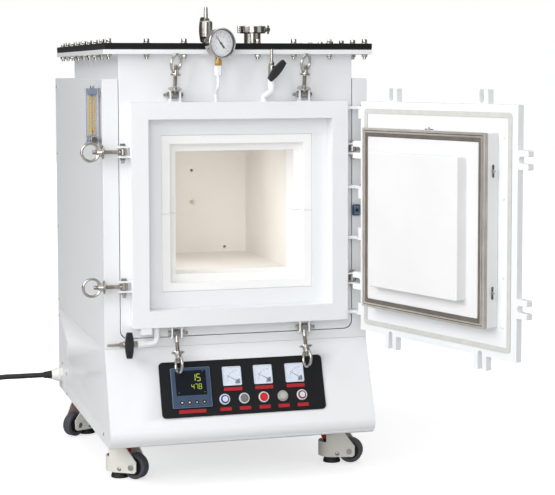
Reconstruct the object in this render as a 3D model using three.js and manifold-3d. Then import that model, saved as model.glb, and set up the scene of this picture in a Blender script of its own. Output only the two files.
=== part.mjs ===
// Atmosphere muffle furnace with a bolted lid, a clamped front door and levelling casters.
// Millimetres, +Z up. The door opens at the front, which faces -Y.
import * as THREE from 'three';
import { mergeVertices } from 'three/addons/utils/BufferGeometryUtils.js';
import Module from 'manifold-3d';

const wasm = await Module();
wasm.setup();

// Gaps and small values that the whole furnace shares
const seat = 0.3;
const running = 0.4;
const overrun = 2;
const rad = Math.PI / 180;

// Driving sizes of the furnace
const chamber = { width: 300, height: 300, depth: 400, front: 130 };
const cabinet = { top: 334, bottom: 106, lip: 30, wall: 2.5, beam: 40, beamDepth: 20, clear: 70 };
const frontTilt = 20 * rad;
const openAngle = 108 * rad;
const block = { above: 137, clear: 0.6 };

// Collar, frame, vessel, housing, lid and door stand round the chamber by fixed margins
const collar = { margin: 36, rebate: 15, nose: 3, face: 42, step: 24, split: 0.5 };
collar.size = chamber.height + 2 * collar.margin;
collar.mouth = chamber.height + 2 * collar.rebate;
collar.throat = chamber.height - 2 * collar.nose;
const frame = { margin: 39, rim: 40, depth: 40, sill: 52 };
frame.opening = collar.size + 2 * frame.margin;
frame.size = frame.opening + 2 * frame.rim;
frame.low = cabinet.top + frame.sill;
frame.centre = frame.low + frame.size / 2;
frame.high = frame.low + frame.size;
const shroud = { margin: 39, behind: 93, front: 40, rise: 54, wall: 2.5, gap: 1.5 };
const vessel = { margin: 22, behind: 167, lift: 24, neck: 112, wall: 5, corner: 20, rail: 40 };
vessel.width = frame.size + 2 * vessel.margin;
vessel.depth = chamber.front + chamber.depth + vessel.behind - shroud.front;
vessel.bottom = cabinet.top + vessel.lift;
vessel.neckTop = frame.high + vessel.neck;
shroud.width = vessel.width + 2 * shroud.margin;
shroud.depth = vessel.depth + shroud.behind;
shroud.top = frame.high + shroud.rise;
const lid = { margin: 41, overhang: 35, behind: 45, flange: 11, gasket: 3, plate: 12 };
lid.width = vessel.width + 2 * lid.margin;
lid.depth = lid.overhang + vessel.depth + lid.behind;
lid.front = shroud.front - lid.overhang;
const lidBolt = { inset: 15, across: 8, along: 9, head: 6.5, headHeight: 10.5 };
const door = { margin: 9, thick: 16, drop: 9, standOff: 3 };
door.width = frame.size + 2 * door.margin;
const pivot = { out: 29, y: -24, pin: 5, knuckle: 11, knuckleHeight: 22, arm: 8 };
pivot.x = frame.size / 2 + pivot.out;
const clamp = { spread: 158, out: 17, y: 18, drop: 8 };
const halfWidth = shroud.width / 2;
const shroudRear = shroud.front + shroud.depth;
const vesselRear = shroud.front + vessel.depth;
const caster = { inset: 54, fromFront: 110, fromRear: 140 };
caster.x = halfWidth - caster.inset;
caster.front = shroud.front + caster.fromFront;
caster.rear = shroudRear - caster.fromRear;

// Named colours, each a painted, metal, ceramic or plastic finish of the furnace
const paint = (color, roughness, metalness = 0) =>
  new THREE.MeshStandardMaterial({ color, roughness, metalness });
const whitePaint = paint(0xeceef0, 0.35);
const ceramicWhite = paint(0xf4f1ec, 0.9);
const ceramicCream = paint(0xe8dfd2, 0.95);
const blackPaint = paint(0x16181a, 0.5);
const blackRubber = paint(0x1b1c1e, 0.7);
const stainless = paint(0xb3afa8, 0.3, 1);
const gasketBeige = paint(0xd8d4ca, 0.8);
const slateBlue = paint(0x46627f, 0.5);

// Solids, cuts and placing
const furnace = new THREE.Group();

function solid(geometry) {
  const bare = geometry.clone();
  bare.deleteAttribute('normal');
  bare.deleteAttribute('uv');
  const merged = mergeVertices(bare);
  const index = merged.index.array;
  const kept = [];
  for (let i = 0; i < index.length; i += 3) {
    const [a, b, c] = [index[i], index[i + 1], index[i + 2]];
    if (a !== b && b !== c && c !== a) kept.push(a, b, c);
  }
  const vertProperties = new Float32Array(merged.attributes.position.array);
  const triVerts = new Uint32Array(kept);
  return new wasm.Manifold(new wasm.Mesh({ numProp: 3, vertProperties, triVerts }));
}

function surface(body) {
  const mesh = body.getMesh();
  const geometry = new THREE.BufferGeometry();
  const position = new Float32Array(mesh.vertProperties);
  geometry.setAttribute('position', new THREE.BufferAttribute(position, 3));
  geometry.setIndex(new THREE.BufferAttribute(new Uint32Array(mesh.triVerts), 1));
  return geometry;
}

function placed(body, matrix) {
  return solid(surface(body).applyMatrix4(matrix));
}

function join(first, ...others) {
  return others.reduce((whole, other) => whole.add(other), first);
}

function cut(first, ...others) {
  return others.reduce((whole, other) => whole.subtract(other), first);
}

function box(x, y, z) {
  const geometry = new THREE.BoxGeometry(x[1] - x[0], y[1] - y[0], z[1] - z[0]);
  geometry.translate((x[0] + x[1]) / 2, (y[0] + y[1]) / 2, (z[0] + z[1]) / 2);
  return solid(geometry);
}

// A round bar or cone from one point to another
function bar(from, to, radius, sides, endRadius = radius, turn = 0) {
  const start = new THREE.Vector3(...from);
  const along = new THREE.Vector3(...to).sub(start);
  const geometry = new THREE.CylinderGeometry(endRadius, radius, along.length(), sides);
  geometry.rotateY(turn);
  geometry.translate(0, along.length() / 2, 0);
  const up = new THREE.Vector3(0, 1, 0);
  geometry.applyQuaternion(new THREE.Quaternion().setFromUnitVectors(up, along.normalize()));
  geometry.translate(...from);
  return solid(geometry);
}

// An outline in the XY plane, raised from one height to another
function prism(shape, low, high, curveSegments = 6) {
  const geometry = new THREE.ExtrudeGeometry(shape, {
    depth: high - low,
    bevelEnabled: false,
    curveSegments,
  });
  geometry.translate(0, 0, low);
  return solid(geometry);
}

// A profile of [radius, height] points turned about the Z axis
function turned(profile, sides) {
  const points = profile.map(([radius, height]) => new THREE.Vector2(radius, height));
  const geometry = new THREE.LatheGeometry(points, sides);
  geometry.rotateX(Math.PI / 2);
  return solid(geometry);
}

// A tube of round section along a smooth path, with flat ends
function pipe(points, radius, sides, steps) {
  const route = points.map((point) => new THREE.Vector3(...point));
  const path = new THREE.CatmullRomCurve3(route, false, 'centripetal');
  const section = new THREE.Shape();
  section.absarc(0, 0, radius, 0, Math.PI * 2);
  return new THREE.ExtrudeGeometry(section, {
    steps,
    extrudePath: path,
    curveSegments: sides / 2,
    bevelEnabled: false,
  });
}

function rectangle(x0, y0, x1, y1, corner = 0) {
  if (corner === 0) return outline([[x0, y0], [x1, y0], [x1, y1], [x0, y1]]);
  const shape = new THREE.Shape();
  shape.absarc(x1 - corner, y0 + corner, corner, -Math.PI / 2, 0);
  shape.absarc(x1 - corner, y1 - corner, corner, 0, Math.PI / 2);
  shape.absarc(x0 + corner, y1 - corner, corner, Math.PI / 2, Math.PI);
  shape.absarc(x0 + corner, y0 + corner, corner, Math.PI, Math.PI * 1.5);
  return shape;
}

function outline(points) {
  return new THREE.Shape(points.map((point) => new THREE.Vector2(...point)));
}

// The matrix that lays an upright prism down, so that its outline stands in the XZ plane and
// its height runs along +Y
const standing = new THREE.Matrix4().makeBasis(
  new THREE.Vector3(1, 0, 0),
  new THREE.Vector3(0, 0, 1),
  new THREE.Vector3(0, -1, 0),
);

// The matrix that turns a prism so that its outline stands in the YZ plane and its height runs
// along +X
const sideways = new THREE.Matrix4().makeBasis(
  new THREE.Vector3(0, 1, 0),
  new THREE.Vector3(0, 0, 1),
  new THREE.Vector3(1, 0, 0),
);

// An outline of x and z points, from one y to another
function frontPrism(shape, y0, y1, curveSegments = 6) {
  return placed(prism(shape, -y1, -y0, curveSegments), standing);
}

function piece(name, body, material, parent = furnace) {
  const geometry = body.isBufferGeometry ? body : surface(body);
  geometry.computeVertexNormals();
  const mesh = new THREE.Mesh(geometry, material);
  mesh.name = name;
  parent.add(mesh);
  return mesh;
}

// Base cabinet
const gland = { fromRear: 60, z: 151, collar: 19, thread: 9 };
gland.y = shroudRear - gland.fromRear;
const vents = { count: 5, width: 4, height: 46, pitch: 10, fromRear: 168, z: 213 };
const casterPlate = { size: 84, thick: 4 };

// The side outline of the base cabinet, or of its hollow when it is set in by the sheet's wall:
// down the sloping front, round the lip and back along the bottom, as y and z points
function cabinetOutline(inset, top, lipSteps) {
  const tangentZ = cabinet.bottom + cabinet.lip * (1 + Math.sin(frontTilt));
  const tangentY = shroud.front - (cabinet.top - tangentZ) * Math.tan(frontTilt);
  const centreY = tangentY + cabinet.lip * Math.cos(frontTilt);
  const centreZ = cabinet.bottom + cabinet.lip;
  const radius = cabinet.lip - inset;
  const rear = shroud.front + shroud.depth - inset;
  const rise = top - cabinet.top;
  const frontTop = shroud.front + inset / Math.cos(frontTilt) + rise * Math.tan(frontTilt);
  const first = Math.PI - frontTilt;
  const last = Math.PI * 1.5;
  const points = [[frontTop, top]];
  for (let i = 0; i <= lipSteps; i += 1) {
    const angle = first + ((last - first) * i) / lipSteps;
    points.push([centreY + radius * Math.cos(angle), centreZ + radius * Math.sin(angle)]);
  }
  points.push([rear, cabinet.bottom + inset], [rear, top]);
  return outline(points);
}

function sidePrism(shape, x0, x1, curveSegments = 6) {
  return placed(prism(shape, x0, x1, curveSegments), sideways);
}

const panel = {
  width: 404, height: 133, x: 1, down: 38.5, thick: 2.5, corner: 10, backWidth: 384, backHeight: 112,
  cutDepth: 10,
};

// Placed on the sloping front: local x to the right, local y up the slope, local z out of it.
// Its origin lies on the slope's top edge, so a part's place is minus its distance down the slope
const slope = new THREE.Group();
slope.position.set(0, shroud.front, cabinet.top);
slope.rotation.x = Math.PI / 2 - frontTilt;
furnace.add(slope);
slope.updateMatrix();

function lowerCabinet() {
  const lipSteps = 8;
  const shell = sidePrism(cabinetOutline(0, cabinet.top, lipSteps), -halfWidth, halfWidth);
  const inner = halfWidth - cabinet.wall;
  const hollowOutline = cabinetOutline(cabinet.wall, cabinet.top + overrun, lipSteps);
  const hollow = sidePrism(hollowOutline, -inner, inner);
  const beams = [cabinet.clear, vessel.depth - cabinet.clear].map((y) =>
    box(
      [-halfWidth + cabinet.wall / 2, halfWidth - cabinet.wall / 2],
      [shroud.front + y, shroud.front + y + cabinet.beam],
      [cabinet.top - cabinet.beamDepth, cabinet.top],
    ),
  );
  const plates = [];
  for (const side of [-1, 1]) {
    for (const y of [caster.front, caster.rear]) {
      const x = side * caster.x;
      const half = casterPlate.size / 2;
      plates.push(
        box(
          [x - half, x + half],
          [y - half, y + half],
          [cabinet.bottom - casterPlate.thick, cabinet.bottom + cabinet.wall / 2],
        ),
      );
    }
  }
  const aperture = placed(
    prism(
      rectangle(
        panel.x - panel.backWidth / 2,
        -panel.down - panel.height / 2 - panel.backHeight / 2,
        panel.x + panel.backWidth / 2,
        -panel.down - panel.height / 2 + panel.backHeight / 2,
      ),
      -panel.cutDepth,
      overrun,
    ),
    slope.matrix,
  );
  const cuts = [hollow, aperture];
  for (let i = 0; i < vents.count; i += 1) {
    const y = shroudRear - vents.fromRear + i * vents.pitch;
    cuts.push(
      box(
        [-halfWidth - overrun, -inner + overrun],
        [y, y + vents.width],
        [vents.z, vents.z + vents.height],
      ),
    );
  }
  const hole = gland.thread + seat;
  const outside = -halfWidth - overrun;
  cuts.push(bar([outside, gland.y, gland.z], [-inner + overrun, gland.y, gland.z], hole, 12));
  return join(cut(shell, ...cuts), ...beams, ...plates);
}
piece('lower_cabinet', lowerCabinet(), whitePaint);

// Upper housing, open below, at the front and round the vessel's neck
const louvre = { count: 7, width: 180, height: 6, pitch: 22, x: 150, below: 210 };

function upperHousing() {
  const bottom = cabinet.top + seat;
  const inner = halfWidth - shroud.wall;
  const neck = vessel.width / 2 + shroud.gap;
  const shell = box([-halfWidth, halfWidth], [shroud.front, shroudRear], [bottom, shroud.top]);
  const hollow = box(
    [-inner, inner],
    [shroud.front + shroud.wall, shroudRear - shroud.wall],
    [bottom - overrun, shroud.top - shroud.wall],
  );
  const opening = rectangle(
    -neck,
    vessel.bottom - shroud.gap,
    neck,
    shroud.top + vessel.corner + overrun,
    vessel.corner,
  );
  const front = frontPrism(opening, shroud.front - overrun, shroud.front + shroud.wall + overrun, 5);
  const top = box(
    [-neck, neck],
    [shroud.front - overrun, vesselRear + shroud.gap],
    [shroud.top - shroud.wall - overrun, shroud.top + overrun],
  );
  const slots = [];
  for (const side of [-1, 1]) {
    for (let i = 0; i < louvre.count; i += 1) {
      const x = side * louvre.x;
      const z = shroud.top - louvre.below + i * louvre.pitch;
      slots.push(
        box(
          [x - louvre.width / 2, x + louvre.width / 2],
          [shroudRear - shroud.wall - overrun, shroudRear + overrun],
          [z, z + louvre.height],
        ),
      );
    }
  }
  return cut(shell, hollow, front, top, ...slots);
}
piece('upper_housing', upperHousing(), whitePaint);

// Bolts of the lid: places of the bolt circle's centres round the rectangular flange
const lidRear = lid.front + lid.depth;
const flangeTop = vessel.neckTop + lid.flange;
const gasketTop = flangeTop + lid.gasket;
const lidTop = gasketTop + lid.plate;

function lidBoltPlaces() {
  const places = [];
  const x = lid.width / 2 - lidBolt.inset;
  const y0 = lid.front + lidBolt.inset;
  const y1 = lidRear - lidBolt.inset;
  for (let i = 0; i < lidBolt.across; i += 1) {
    const across = -x + (2 * x * i) / (lidBolt.across - 1);
    places.push([across, y0], [across, y1]);
  }
  for (let i = 1; i < lidBolt.along - 1; i += 1) {
    const along = y0 + ((y1 - y0) * i) / (lidBolt.along - 1);
    places.push([-x, along], [x, along]);
  }
  return places;
}

// Sealed steel vessel: front plate, neck, bolting flange, and the rails that it stands on
const probe = { below: 13, radius: 5, reach: 28, head: 18, headLength: 36, tail: 14 };
probe.z = frame.centre - probe.below;
const chamberRear = chamber.front + chamber.depth;

function vesselBody() {
  const half = vessel.width / 2;
  const inner = half - vessel.wall;
  const outer = frontPrism(
    rectangle(-half, vessel.bottom, half, flangeTop + vessel.corner, vessel.corner),
    shroud.front,
    vesselRear,
    5,
  );
  const flangeX = [-lid.width / 2, lid.width / 2];
  const flange = box(flangeX, [lid.front, lidRear], [vessel.neckTop, flangeTop]);
  const above = box(
    [-half - overrun, half + overrun],
    [shroud.front - overrun, vesselRear + overrun],
    [flangeTop, flangeTop + vessel.corner * 2],
  );
  const hollow = box(
    [-inner, inner],
    [shroud.front + vessel.wall, vesselRear - vessel.wall],
    [vessel.bottom + vessel.wall, flangeTop + overrun],
  );
  const mouth = collar.size / 2 + seat;
  const opening = box(
    [-mouth, mouth],
    [shroud.front - overrun, shroud.front + vessel.wall + overrun],
    [frame.centre - mouth, frame.centre + mouth],
  );
  const through = vesselRear + overrun;
  const probeRadius = probe.radius + seat;
  const probeHole = bar([0, chamberRear, probe.z], [0, through, probe.z], probeRadius, 12);
  const railX = chamber.width / 2 + vessel.rail;
  const rails = [-railX, railX].map((x) =>
    box(
      [x - vessel.rail / 2, x + vessel.rail / 2],
      [shroud.front + vessel.corner, vesselRear],
      [cabinet.top + seat, vessel.bottom + vessel.wall / 2],
    ),
  );
  return join(cut(join(outer, flange), above, hollow, opening, probeHole), ...rails);
}
piece('vessel', vesselBody(), whitePaint);

// Insulation block with the chamber, the heater pockets, the ports and the probe's bore
const portRadius = 4;
const leadPort = { x: 90, below: 137 };
const gasPort = { x: 0, above: 72 };
const ports = [
  { x: leadPort.x, z: frame.centre - leadPort.below, radius: portRadius },
  { x: gasPort.x, z: frame.centre + gasPort.above, radius: portRadius },
  { x: 0, z: probe.z, radius: probe.radius + seat },
];
const heater = { wall: 8, pocket: 12, thick: 10, front: 30, crown: 10, legs: 5, strip: 14, post: 8 };
const blockFront = shroud.front + vessel.wall + block.clear;
const blockRear = vesselRear - vessel.wall - block.clear;
const blockBottom = vessel.bottom + vessel.wall + seat;
const blockTop = frame.centre + chamber.height / 2 + block.above;

function insulationBlock() {
  const half = vessel.width / 2 - vessel.wall - block.clear;
  const body = box([-half, half], [blockFront, blockRear], [blockBottom, blockTop]);
  const seatHalf = collar.size / 2 + seat;
  const collarSeat = box(
    [-seatHalf, seatHalf],
    [blockFront - overrun, chamber.front + seat],
    [frame.centre - seatHalf, frame.centre + seatHalf],
  );
  const halfW = chamber.width / 2;
  const halfH = chamber.height / 2;
  const hollow = box(
    [-halfW, halfW],
    [chamber.front - overrun, chamberRear],
    [frame.centre - halfH, frame.centre + halfH],
  );
  const pockets = [-1, 1].map((side) => {
    const near = side * (halfW + heater.wall);
    const far = side * (halfW + heater.wall + heater.pocket);
    return box(
      [Math.min(near, far), Math.max(near, far)],
      [chamber.front + heater.front, chamberRear - heater.front],
      [frame.centre - halfH, blockTop + overrun],
    );
  });
  const rear = blockRear + overrun;
  const bores = ports.map(({ x, z, radius }) =>
    bar([x, chamberRear - overrun, z], [x, rear, z], radius, 12),
  );
  return cut(body, collarSeat, hollow, ...pockets, ...bores);
}
piece('insulation_block', insulationBlock(), ceramicCream);

// Heating element: on each side a band that runs up and down in its pocket and ends in a post at
// the top. A strap over the block joins the two bands
const heaterNear = chamber.width / 2 + heater.wall + (heater.pocket - heater.thick) / 2;
const heaterFar = heaterNear + heater.thick;
const heaterFront = chamber.front + heater.front + heater.pocket;
const heaterLength = chamber.depth - (heater.front + heater.pocket) * 2;
const heaterStep = (heaterLength - heater.strip) / heater.legs;

function heatingBand(side) {
  const low = frame.centre - chamber.height / 2 + seat;
  const high = low + chamber.height - heater.crown;
  const x = side < 0 ? [-heaterFar, -heaterNear] : [heaterNear, heaterFar];
  const parts = [];
  for (let i = 0; i <= heater.legs; i += 1) {
    const y = heaterFront + i * heaterStep;
    const post = i === 0 || i === heater.legs;
    parts.push(box(x, [y, y + heater.strip], [low, post ? blockTop + heater.post * 2 : high]));
    if (i < heater.legs) {
      const z = i % 2 === 1 ? high - heater.strip : low;
      parts.push(box(x, [y, y + heaterStep + heater.strip], [z, z + heater.strip]));
    }
  }
  return join(...parts);
}

function heatingElement() {
  const y = heaterFront + heater.legs * heaterStep;
  const strap = box(
    [-heaterFar, heaterFar],
    [y, y + heater.strip],
    [blockTop + heater.post, blockTop + heater.post * 2],
  );
  return join(heatingBand(-1), heatingBand(1), strap);
}
piece('heating_element', heatingElement(), paint(0x8a8782, 0.6, 0.6));

// Thermocouple: a ceramic sheath through the back wall, with its head behind the vessel
function thermocouple() {
  const sheath = bar(
    [0, chamberRear - probe.reach, probe.z],
    [0, vesselRear + seat + probe.tail, probe.z],
    probe.radius,
    12,
  );
  const headEnd = vesselRear + seat + probe.headLength;
  const head = bar([0, vesselRear + seat, probe.z], [0, headEnd, probe.z], probe.head, 12);
  return join(sheath, head);
}
piece('thermocouple', thermocouple(), ceramicWhite);

// Mouth collar in two halves, with the stepped seat that the door's plug enters
function collarHalf(upper) {
  const centre = frame.centre;
  const half = collar.size / 2;
  const gap = collar.split / 2;
  const z = upper ? [centre + gap, centre + half] : [centre - half, centre - gap];
  const ring = box([-half, half], [collar.face, chamber.front], z);
  const mouth = collar.mouth / 2;
  const throat = collar.throat / 2;
  const step = box(
    [-mouth, mouth],
    [collar.face - overrun, collar.face + collar.step],
    [centre - mouth, centre + mouth],
  );
  const tunnel = box(
    [-throat, throat],
    [collar.face, chamber.front + overrun],
    [centre - throat, centre + throat],
  );
  return cut(ring, step, tunnel);
}
piece('collar_upper', collarHalf(true), ceramicWhite);
piece('collar_lower', collarHalf(false), ceramicWhite);

// Clamp forks. Local x points away from the frame, local z runs along the pin and local y points
// back
const fork = {
  gap: 19, plate: 4, reach: 13.5, half: 10, pinRadius: 4, pinHead: 7, headHeight: 6, tail: 13,
};

function clampFork(headSign) {
  const root = -clamp.out - overrun;
  const corner = Math.asin(fork.half / fork.reach);
  const shape = new THREE.Shape();
  shape.absarc(0, 0, fork.reach, -corner, corner);
  shape.lineTo(root, fork.half);
  shape.lineTo(root, -fork.half);
  shape.closePath();
  const inner = fork.gap / 2;
  const outer = inner + fork.plate;
  const ears = [prism(shape, inner, outer, 2), prism(shape, -outer, -inner, 2)];
  const head = [0, 0, headSign * (outer + fork.headHeight)];
  const end = [0, 0, -headSign * (outer + fork.tail)];
  const nutEnd = [0, 0, -headSign * (outer + fork.headHeight)];
  const pin = bar(head, end, fork.pinRadius, 6);
  const bolt = bar([0, 0, headSign * (outer - overrun)], head, fork.pinHead, 6);
  const nut = bar([0, 0, -headSign * (outer - overrun)], nutEnd, fork.pinHead, 6);
  return join(...ears, pin, bolt, nut);
}

// The eight clamps: where each turns, which way it stands, how it leans at rest and how far it swings
const clampZ = frame.centre - clamp.drop;
const sideReach = frame.size / 2 + clamp.out;
const back = new THREE.Vector3(0, 1, 0);
const clamps = [];
for (const [place, z] of [['upper', clampZ + clamp.spread], ['lower', clampZ - clamp.spread]]) {
  for (const [side, sign] of [['left', -1], ['right', 1]]) {
    const at = [sign * sideReach, clamp.y, z];
    clamps.push({ name: `${side}_${place}`, at, out: [sign, 0, 0], head: sign, ring: 0 });
  }
}
const topZ = frame.centre + sideReach;
const bottomZ = frame.centre - sideReach;
for (const [place, x] of [['left', -clamp.spread], ['right', clamp.spread]]) {
  const stand = { out: [0, 0, 1], head: -1, ring: 45 * rad, lean: -14 * rad, dropped: true };
  const hang = { out: [0, 0, -1], head: -1, ring: 80 * rad, lean: -21 * rad };
  clamps.push({ name: `top_${place}`, at: [x, clamp.y, topZ], ...stand });
  clamps.push({ name: `bottom_${place}`, at: [x, clamp.y, bottomZ], ...hang });
}

function clampMatrix(item, lean = 0) {
  const out = new THREE.Vector3(...item.out);
  const pin = out.clone().cross(back);
  const matrix = new THREE.Matrix4().makeBasis(out, back, pin);
  return matrix.multiply(new THREE.Matrix4().makeRotationZ(lean)).setPosition(...item.at);
}

// Door frame: the thick flange round the mouth, with the clamp forks, the hinge arms and the
// welded pipes. A pipe's lift is its socket's height over the frame, as bendLow and bendHigh are
// those of its bend's two ends
const pipeY = 18;
const forward = 31;
const socketHeight = 23;
const gaugePipe = {
  x: -58, radius: 4, shift: -2, bendLow: 20, bendHigh: 36, socket: 9.5, lift: 62, sides: 6,
};
const inletPipe = {
  x: 60, radius: 7, shift: 10, bendLow: 11, bendHigh: 26, socket: 9.5, lift: 29, sides: 10,
};
for (const p of [gaugePipe, inletPipe]) {
  p.socketLow = frame.high + p.lift;
  p.top = p.socketLow + socketHeight;
}
const outletPipe = { radius: 7, socket: 9, drop: 39, fromSide: 60, endFromSide: 13 };
outletPipe.x = outletPipe.fromSide - frame.size / 2;
outletPipe.left = outletPipe.endFromSide - frame.size / 2;
outletPipe.z = frame.low - outletPipe.drop;
const stub = { fromSide: 19, width: 27, height: 16, depth: 24 };
const arm = { back: 30, front: 6, neck: 10, end: 16, foot: 17, above: 57, below: 66 };
const armLevels = {
  top: frame.high - arm.end,
  upper: frame.centre + arm.above,
  lower: frame.centre - arm.below,
  bottom: frame.low + arm.foot,
};

function hingeArm(level) {
  const side = frame.size / 2 - overrun;
  const shape = new THREE.Shape();
  shape.moveTo(side, arm.front);
  shape.lineTo(pivot.x - arm.neck, arm.front);
  shape.lineTo(pivot.x - pivot.knuckle, pivot.y);
  shape.absarc(pivot.x, pivot.y, pivot.knuckle, Math.PI, Math.PI * 2);
  shape.lineTo(pivot.x + pivot.knuckle, arm.front);
  shape.lineTo(pivot.x + arm.neck - overrun, arm.back);
  shape.lineTo(side, arm.back);
  shape.closePath();
  return prism(shape, level - pivot.arm / 2, level + pivot.arm / 2, 4);
}

// A knuckle stands above the two lower arms and hangs below the two upper ones
const hinges = Object.entries(armLevels).map(([place, level]) => {
  const above = place === 'lower' || place === 'bottom';
  return { place, level, way: above ? 1 : -1 };
});

function hingePin({ level, way }) {
  const start = level - way * (pivot.arm / 2 + overrun);
  const end = level + way * (pivot.arm / 2 + pivot.knuckleHeight + overrun * 2);
  return bar([pivot.x, pivot.y, start], [pivot.x, pivot.y, end], pivot.pin, 8);
}

// A pipe that rises from the frame's top and bends forward, clear of the lid, into its socket
function risingPipe(p) {
  const x = p.x + p.shift;
  const y = pipeY - forward;
  const low = frame.high + p.bendLow;
  const high = frame.high + p.bendHigh;
  const run = pipe(
    [
      [p.x, pipeY, frame.high - overrun],
      [p.x, pipeY, low],
      [p.x + p.shift / 2, pipeY - forward / 2, (low + high) / 2],
      [x, y, high],
      [x, y, p.socketLow + overrun],
    ],
    p.radius,
    8,
    7,
  );
  return join(solid(run), bar([x, y, p.socketLow], [x, y, p.top], p.socket, p.sides));
}

function doorFrame() {
  const half = frame.size / 2;
  const hole = frame.opening / 2;
  const rear = frame.depth - seat;
  const ring = cut(
    box([-half, half], [0, rear], [frame.low, frame.high]),
    box([-hole, hole], [-overrun, rear + overrun], [frame.centre - hole, frame.centre + hole]),
  );
  const forks = clamps.map((item) => placed(clampFork(item.head), clampMatrix(item)));
  const o = outletPipe;
  const outletRun = pipe(
    [
      [o.x, pipeY, frame.low + overrun],
      [o.x, pipeY, o.z + o.radius * 2],
      [o.x - o.radius / 2, pipeY, o.z + o.radius / 2],
      [o.x - o.radius * 2, pipeY, o.z],
      [o.left + o.socket, pipeY, o.z],
    ],
    o.radius,
    8,
    9,
  );
  const socketEnd = o.left + o.socket * 2;
  const outletSocket = bar([o.left, pipeY, o.z], [socketEnd, pipeY, o.z], o.socket, 10);
  const stubLeft = stub.fromSide - half;
  const block = box(
    [stubLeft, stubLeft + stub.width],
    [overrun, stub.depth],
    [frame.low - stub.height, frame.low + overrun],
  );
  const pipes = [risingPipe(gaugePipe), risingPipe(inletPipe), solid(outletRun), outletSocket];
  const arms = hinges.map((hinge) => join(hingeArm(hinge.level), hingePin(hinge)));
  return join(ring, ...forks, ...arms, ...pipes, block);
}
piece('door_frame', doorFrame(), whitePaint);

// Swing bolts: an eye on the fork's pin, a threaded shank, and a ring nut with its loose washer,
// which has dropped to the fork on the bolts that stand upright
const swing = {
  eye: 9, eyeHalf: 7.5, shank: 5, length: 72, washerAt: 46, droppedAt: 13.8, washer: 16.5, washerThick: 2,
  flange: 13, hub: 9, hubLength: 12, ringAt: 76, ring: 20.5, wire: 3,
};

function swingBolt(ringAngle, dropped) {
  const s = swing;
  const eye = bar([0, 0, -s.eyeHalf], [0, 0, s.eyeHalf], s.eye, 8);
  const bore = bar([0, 0, -s.eye], [0, 0, s.eye], fork.pinRadius + running, 8);
  const shank = bar([s.eye / 2, 0, 0], [s.length, 0, 0], s.shank, 8);
  const washerStart = dropped ? s.droppedAt : s.washerAt;
  const washer = bar([washerStart, 0, 0], [washerStart + s.washerThick, 0, 0], s.washer, 12);
  const flangeStart = s.washerAt + s.washerThick;
  const hubStart = flangeStart + s.washerThick;
  const flange = bar([flangeStart - seat, 0, 0], [hubStart, 0, 0], s.flange, 10);
  const hubEnd = hubStart + s.hubLength;
  const hub = bar([hubStart - seat, 0, 0], [hubEnd, 0, 0], s.hub, 6, s.shank + s.wire / 2);
  const torus = new THREE.TorusGeometry(s.ring, s.wire, 5, 12);
  torus.rotateX(Math.PI / 2 + ringAngle);
  torus.translate(s.ringAt, 0, 0);
  return join(cut(join(eye, shank), bore), washer, flange, hub, solid(torus));
}
for (const item of clamps) {
  const mesh = piece(`swing_bolt_${item.name}`, swingBolt(item.ring, item.dropped), stainless);
  clampMatrix(item, item.lean ?? 0).decompose(mesh.position, mesh.quaternion, mesh.scale);
}

// Lid gasket and lid, with the bolts' heads
function lidSheet(low, high) {
  return box([-lid.width / 2, lid.width / 2], [lid.front, lidRear], [low, high]);
}

const vacuum = {
  x: 76, y: 183, bore: 18, tube: 20.5, flange: 27.5, flangeAt: 36, flangeThick: 4, capThick: 6,
};
const lidValve = { x: -42, y: 183, bore: 5 };

function lidGasket() {
  const inner = vessel.width / 2 - vessel.wall;
  const sheet = lidSheet(flangeTop + seat / 3, gasketTop - seat / 3);
  const window = box(
    [-inner, inner],
    [shroud.front + vessel.wall, vesselRear - vessel.wall],
    [flangeTop - overrun, gasketTop + overrun],
  );
  return cut(sheet, window);
}
piece('lid_gasket', lidGasket(), blackRubber);

function lidPlate() {
  const heads = lidBoltPlaces().map(([x, y]) =>
    bar([x, y, lidTop - overrun], [x, y, lidTop + lidBolt.headHeight], lidBolt.head, 6),
  );
  const low = gasketTop - overrun;
  const bores = [
    bar([vacuum.x, vacuum.y, low], [vacuum.x, vacuum.y, lidTop + overrun], vacuum.bore, 12),
    bar([lidValve.x, lidValve.y, low], [lidValve.x, lidValve.y, lidTop + overrun], lidValve.bore, 8),
  ];
  return join(cut(lidSheet(gasketTop, lidTop), ...bores), ...heads);
}
piece('lid_plate', lidPlate(), blackPaint);

// Vacuum port on the lid: flanged tube, blank cap, and the hinged clamp ring with its wing nut
const ringClamp = {
  outer: 33, inner: 24, height: 18, ear: 14, earWidth: 10, wing: 11, screw: 3, screwInset: 6,
  wingThick: 4,
};

function vacuumPort() {
  const v = vacuum;
  const base = lidTop + seat;
  const top = base + v.flangeAt;
  const taper = v.flangeThick / 2;
  const profile = [
    [v.bore, base],
    [v.tube, base],
    [v.tube, top - v.flangeThick - taper],
    [v.flange, top - v.flangeThick],
    [v.flange, top],
    [v.bore, top],
    [v.bore, base],
  ];
  const lift = new THREE.Matrix4().makeTranslation(v.x, v.y, 0);
  return placed(turned(profile, 18), lift);
}
piece('vacuum_port', vacuumPort(), stainless);

function vacuumCap() {
  const v = vacuum;
  const low = lidTop + seat + v.flangeAt + seat;
  const profile = [
    [0, low],
    [v.flange, low],
    [v.flange, low + v.flangeThick],
    [v.flange - v.flangeThick, low + v.capThick],
    [0, low + v.capThick],
  ];
  return placed(turned(profile, 18), new THREE.Matrix4().makeTranslation(v.x, v.y, 0));
}
piece('vacuum_cap', vacuumCap(), stainless);

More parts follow.
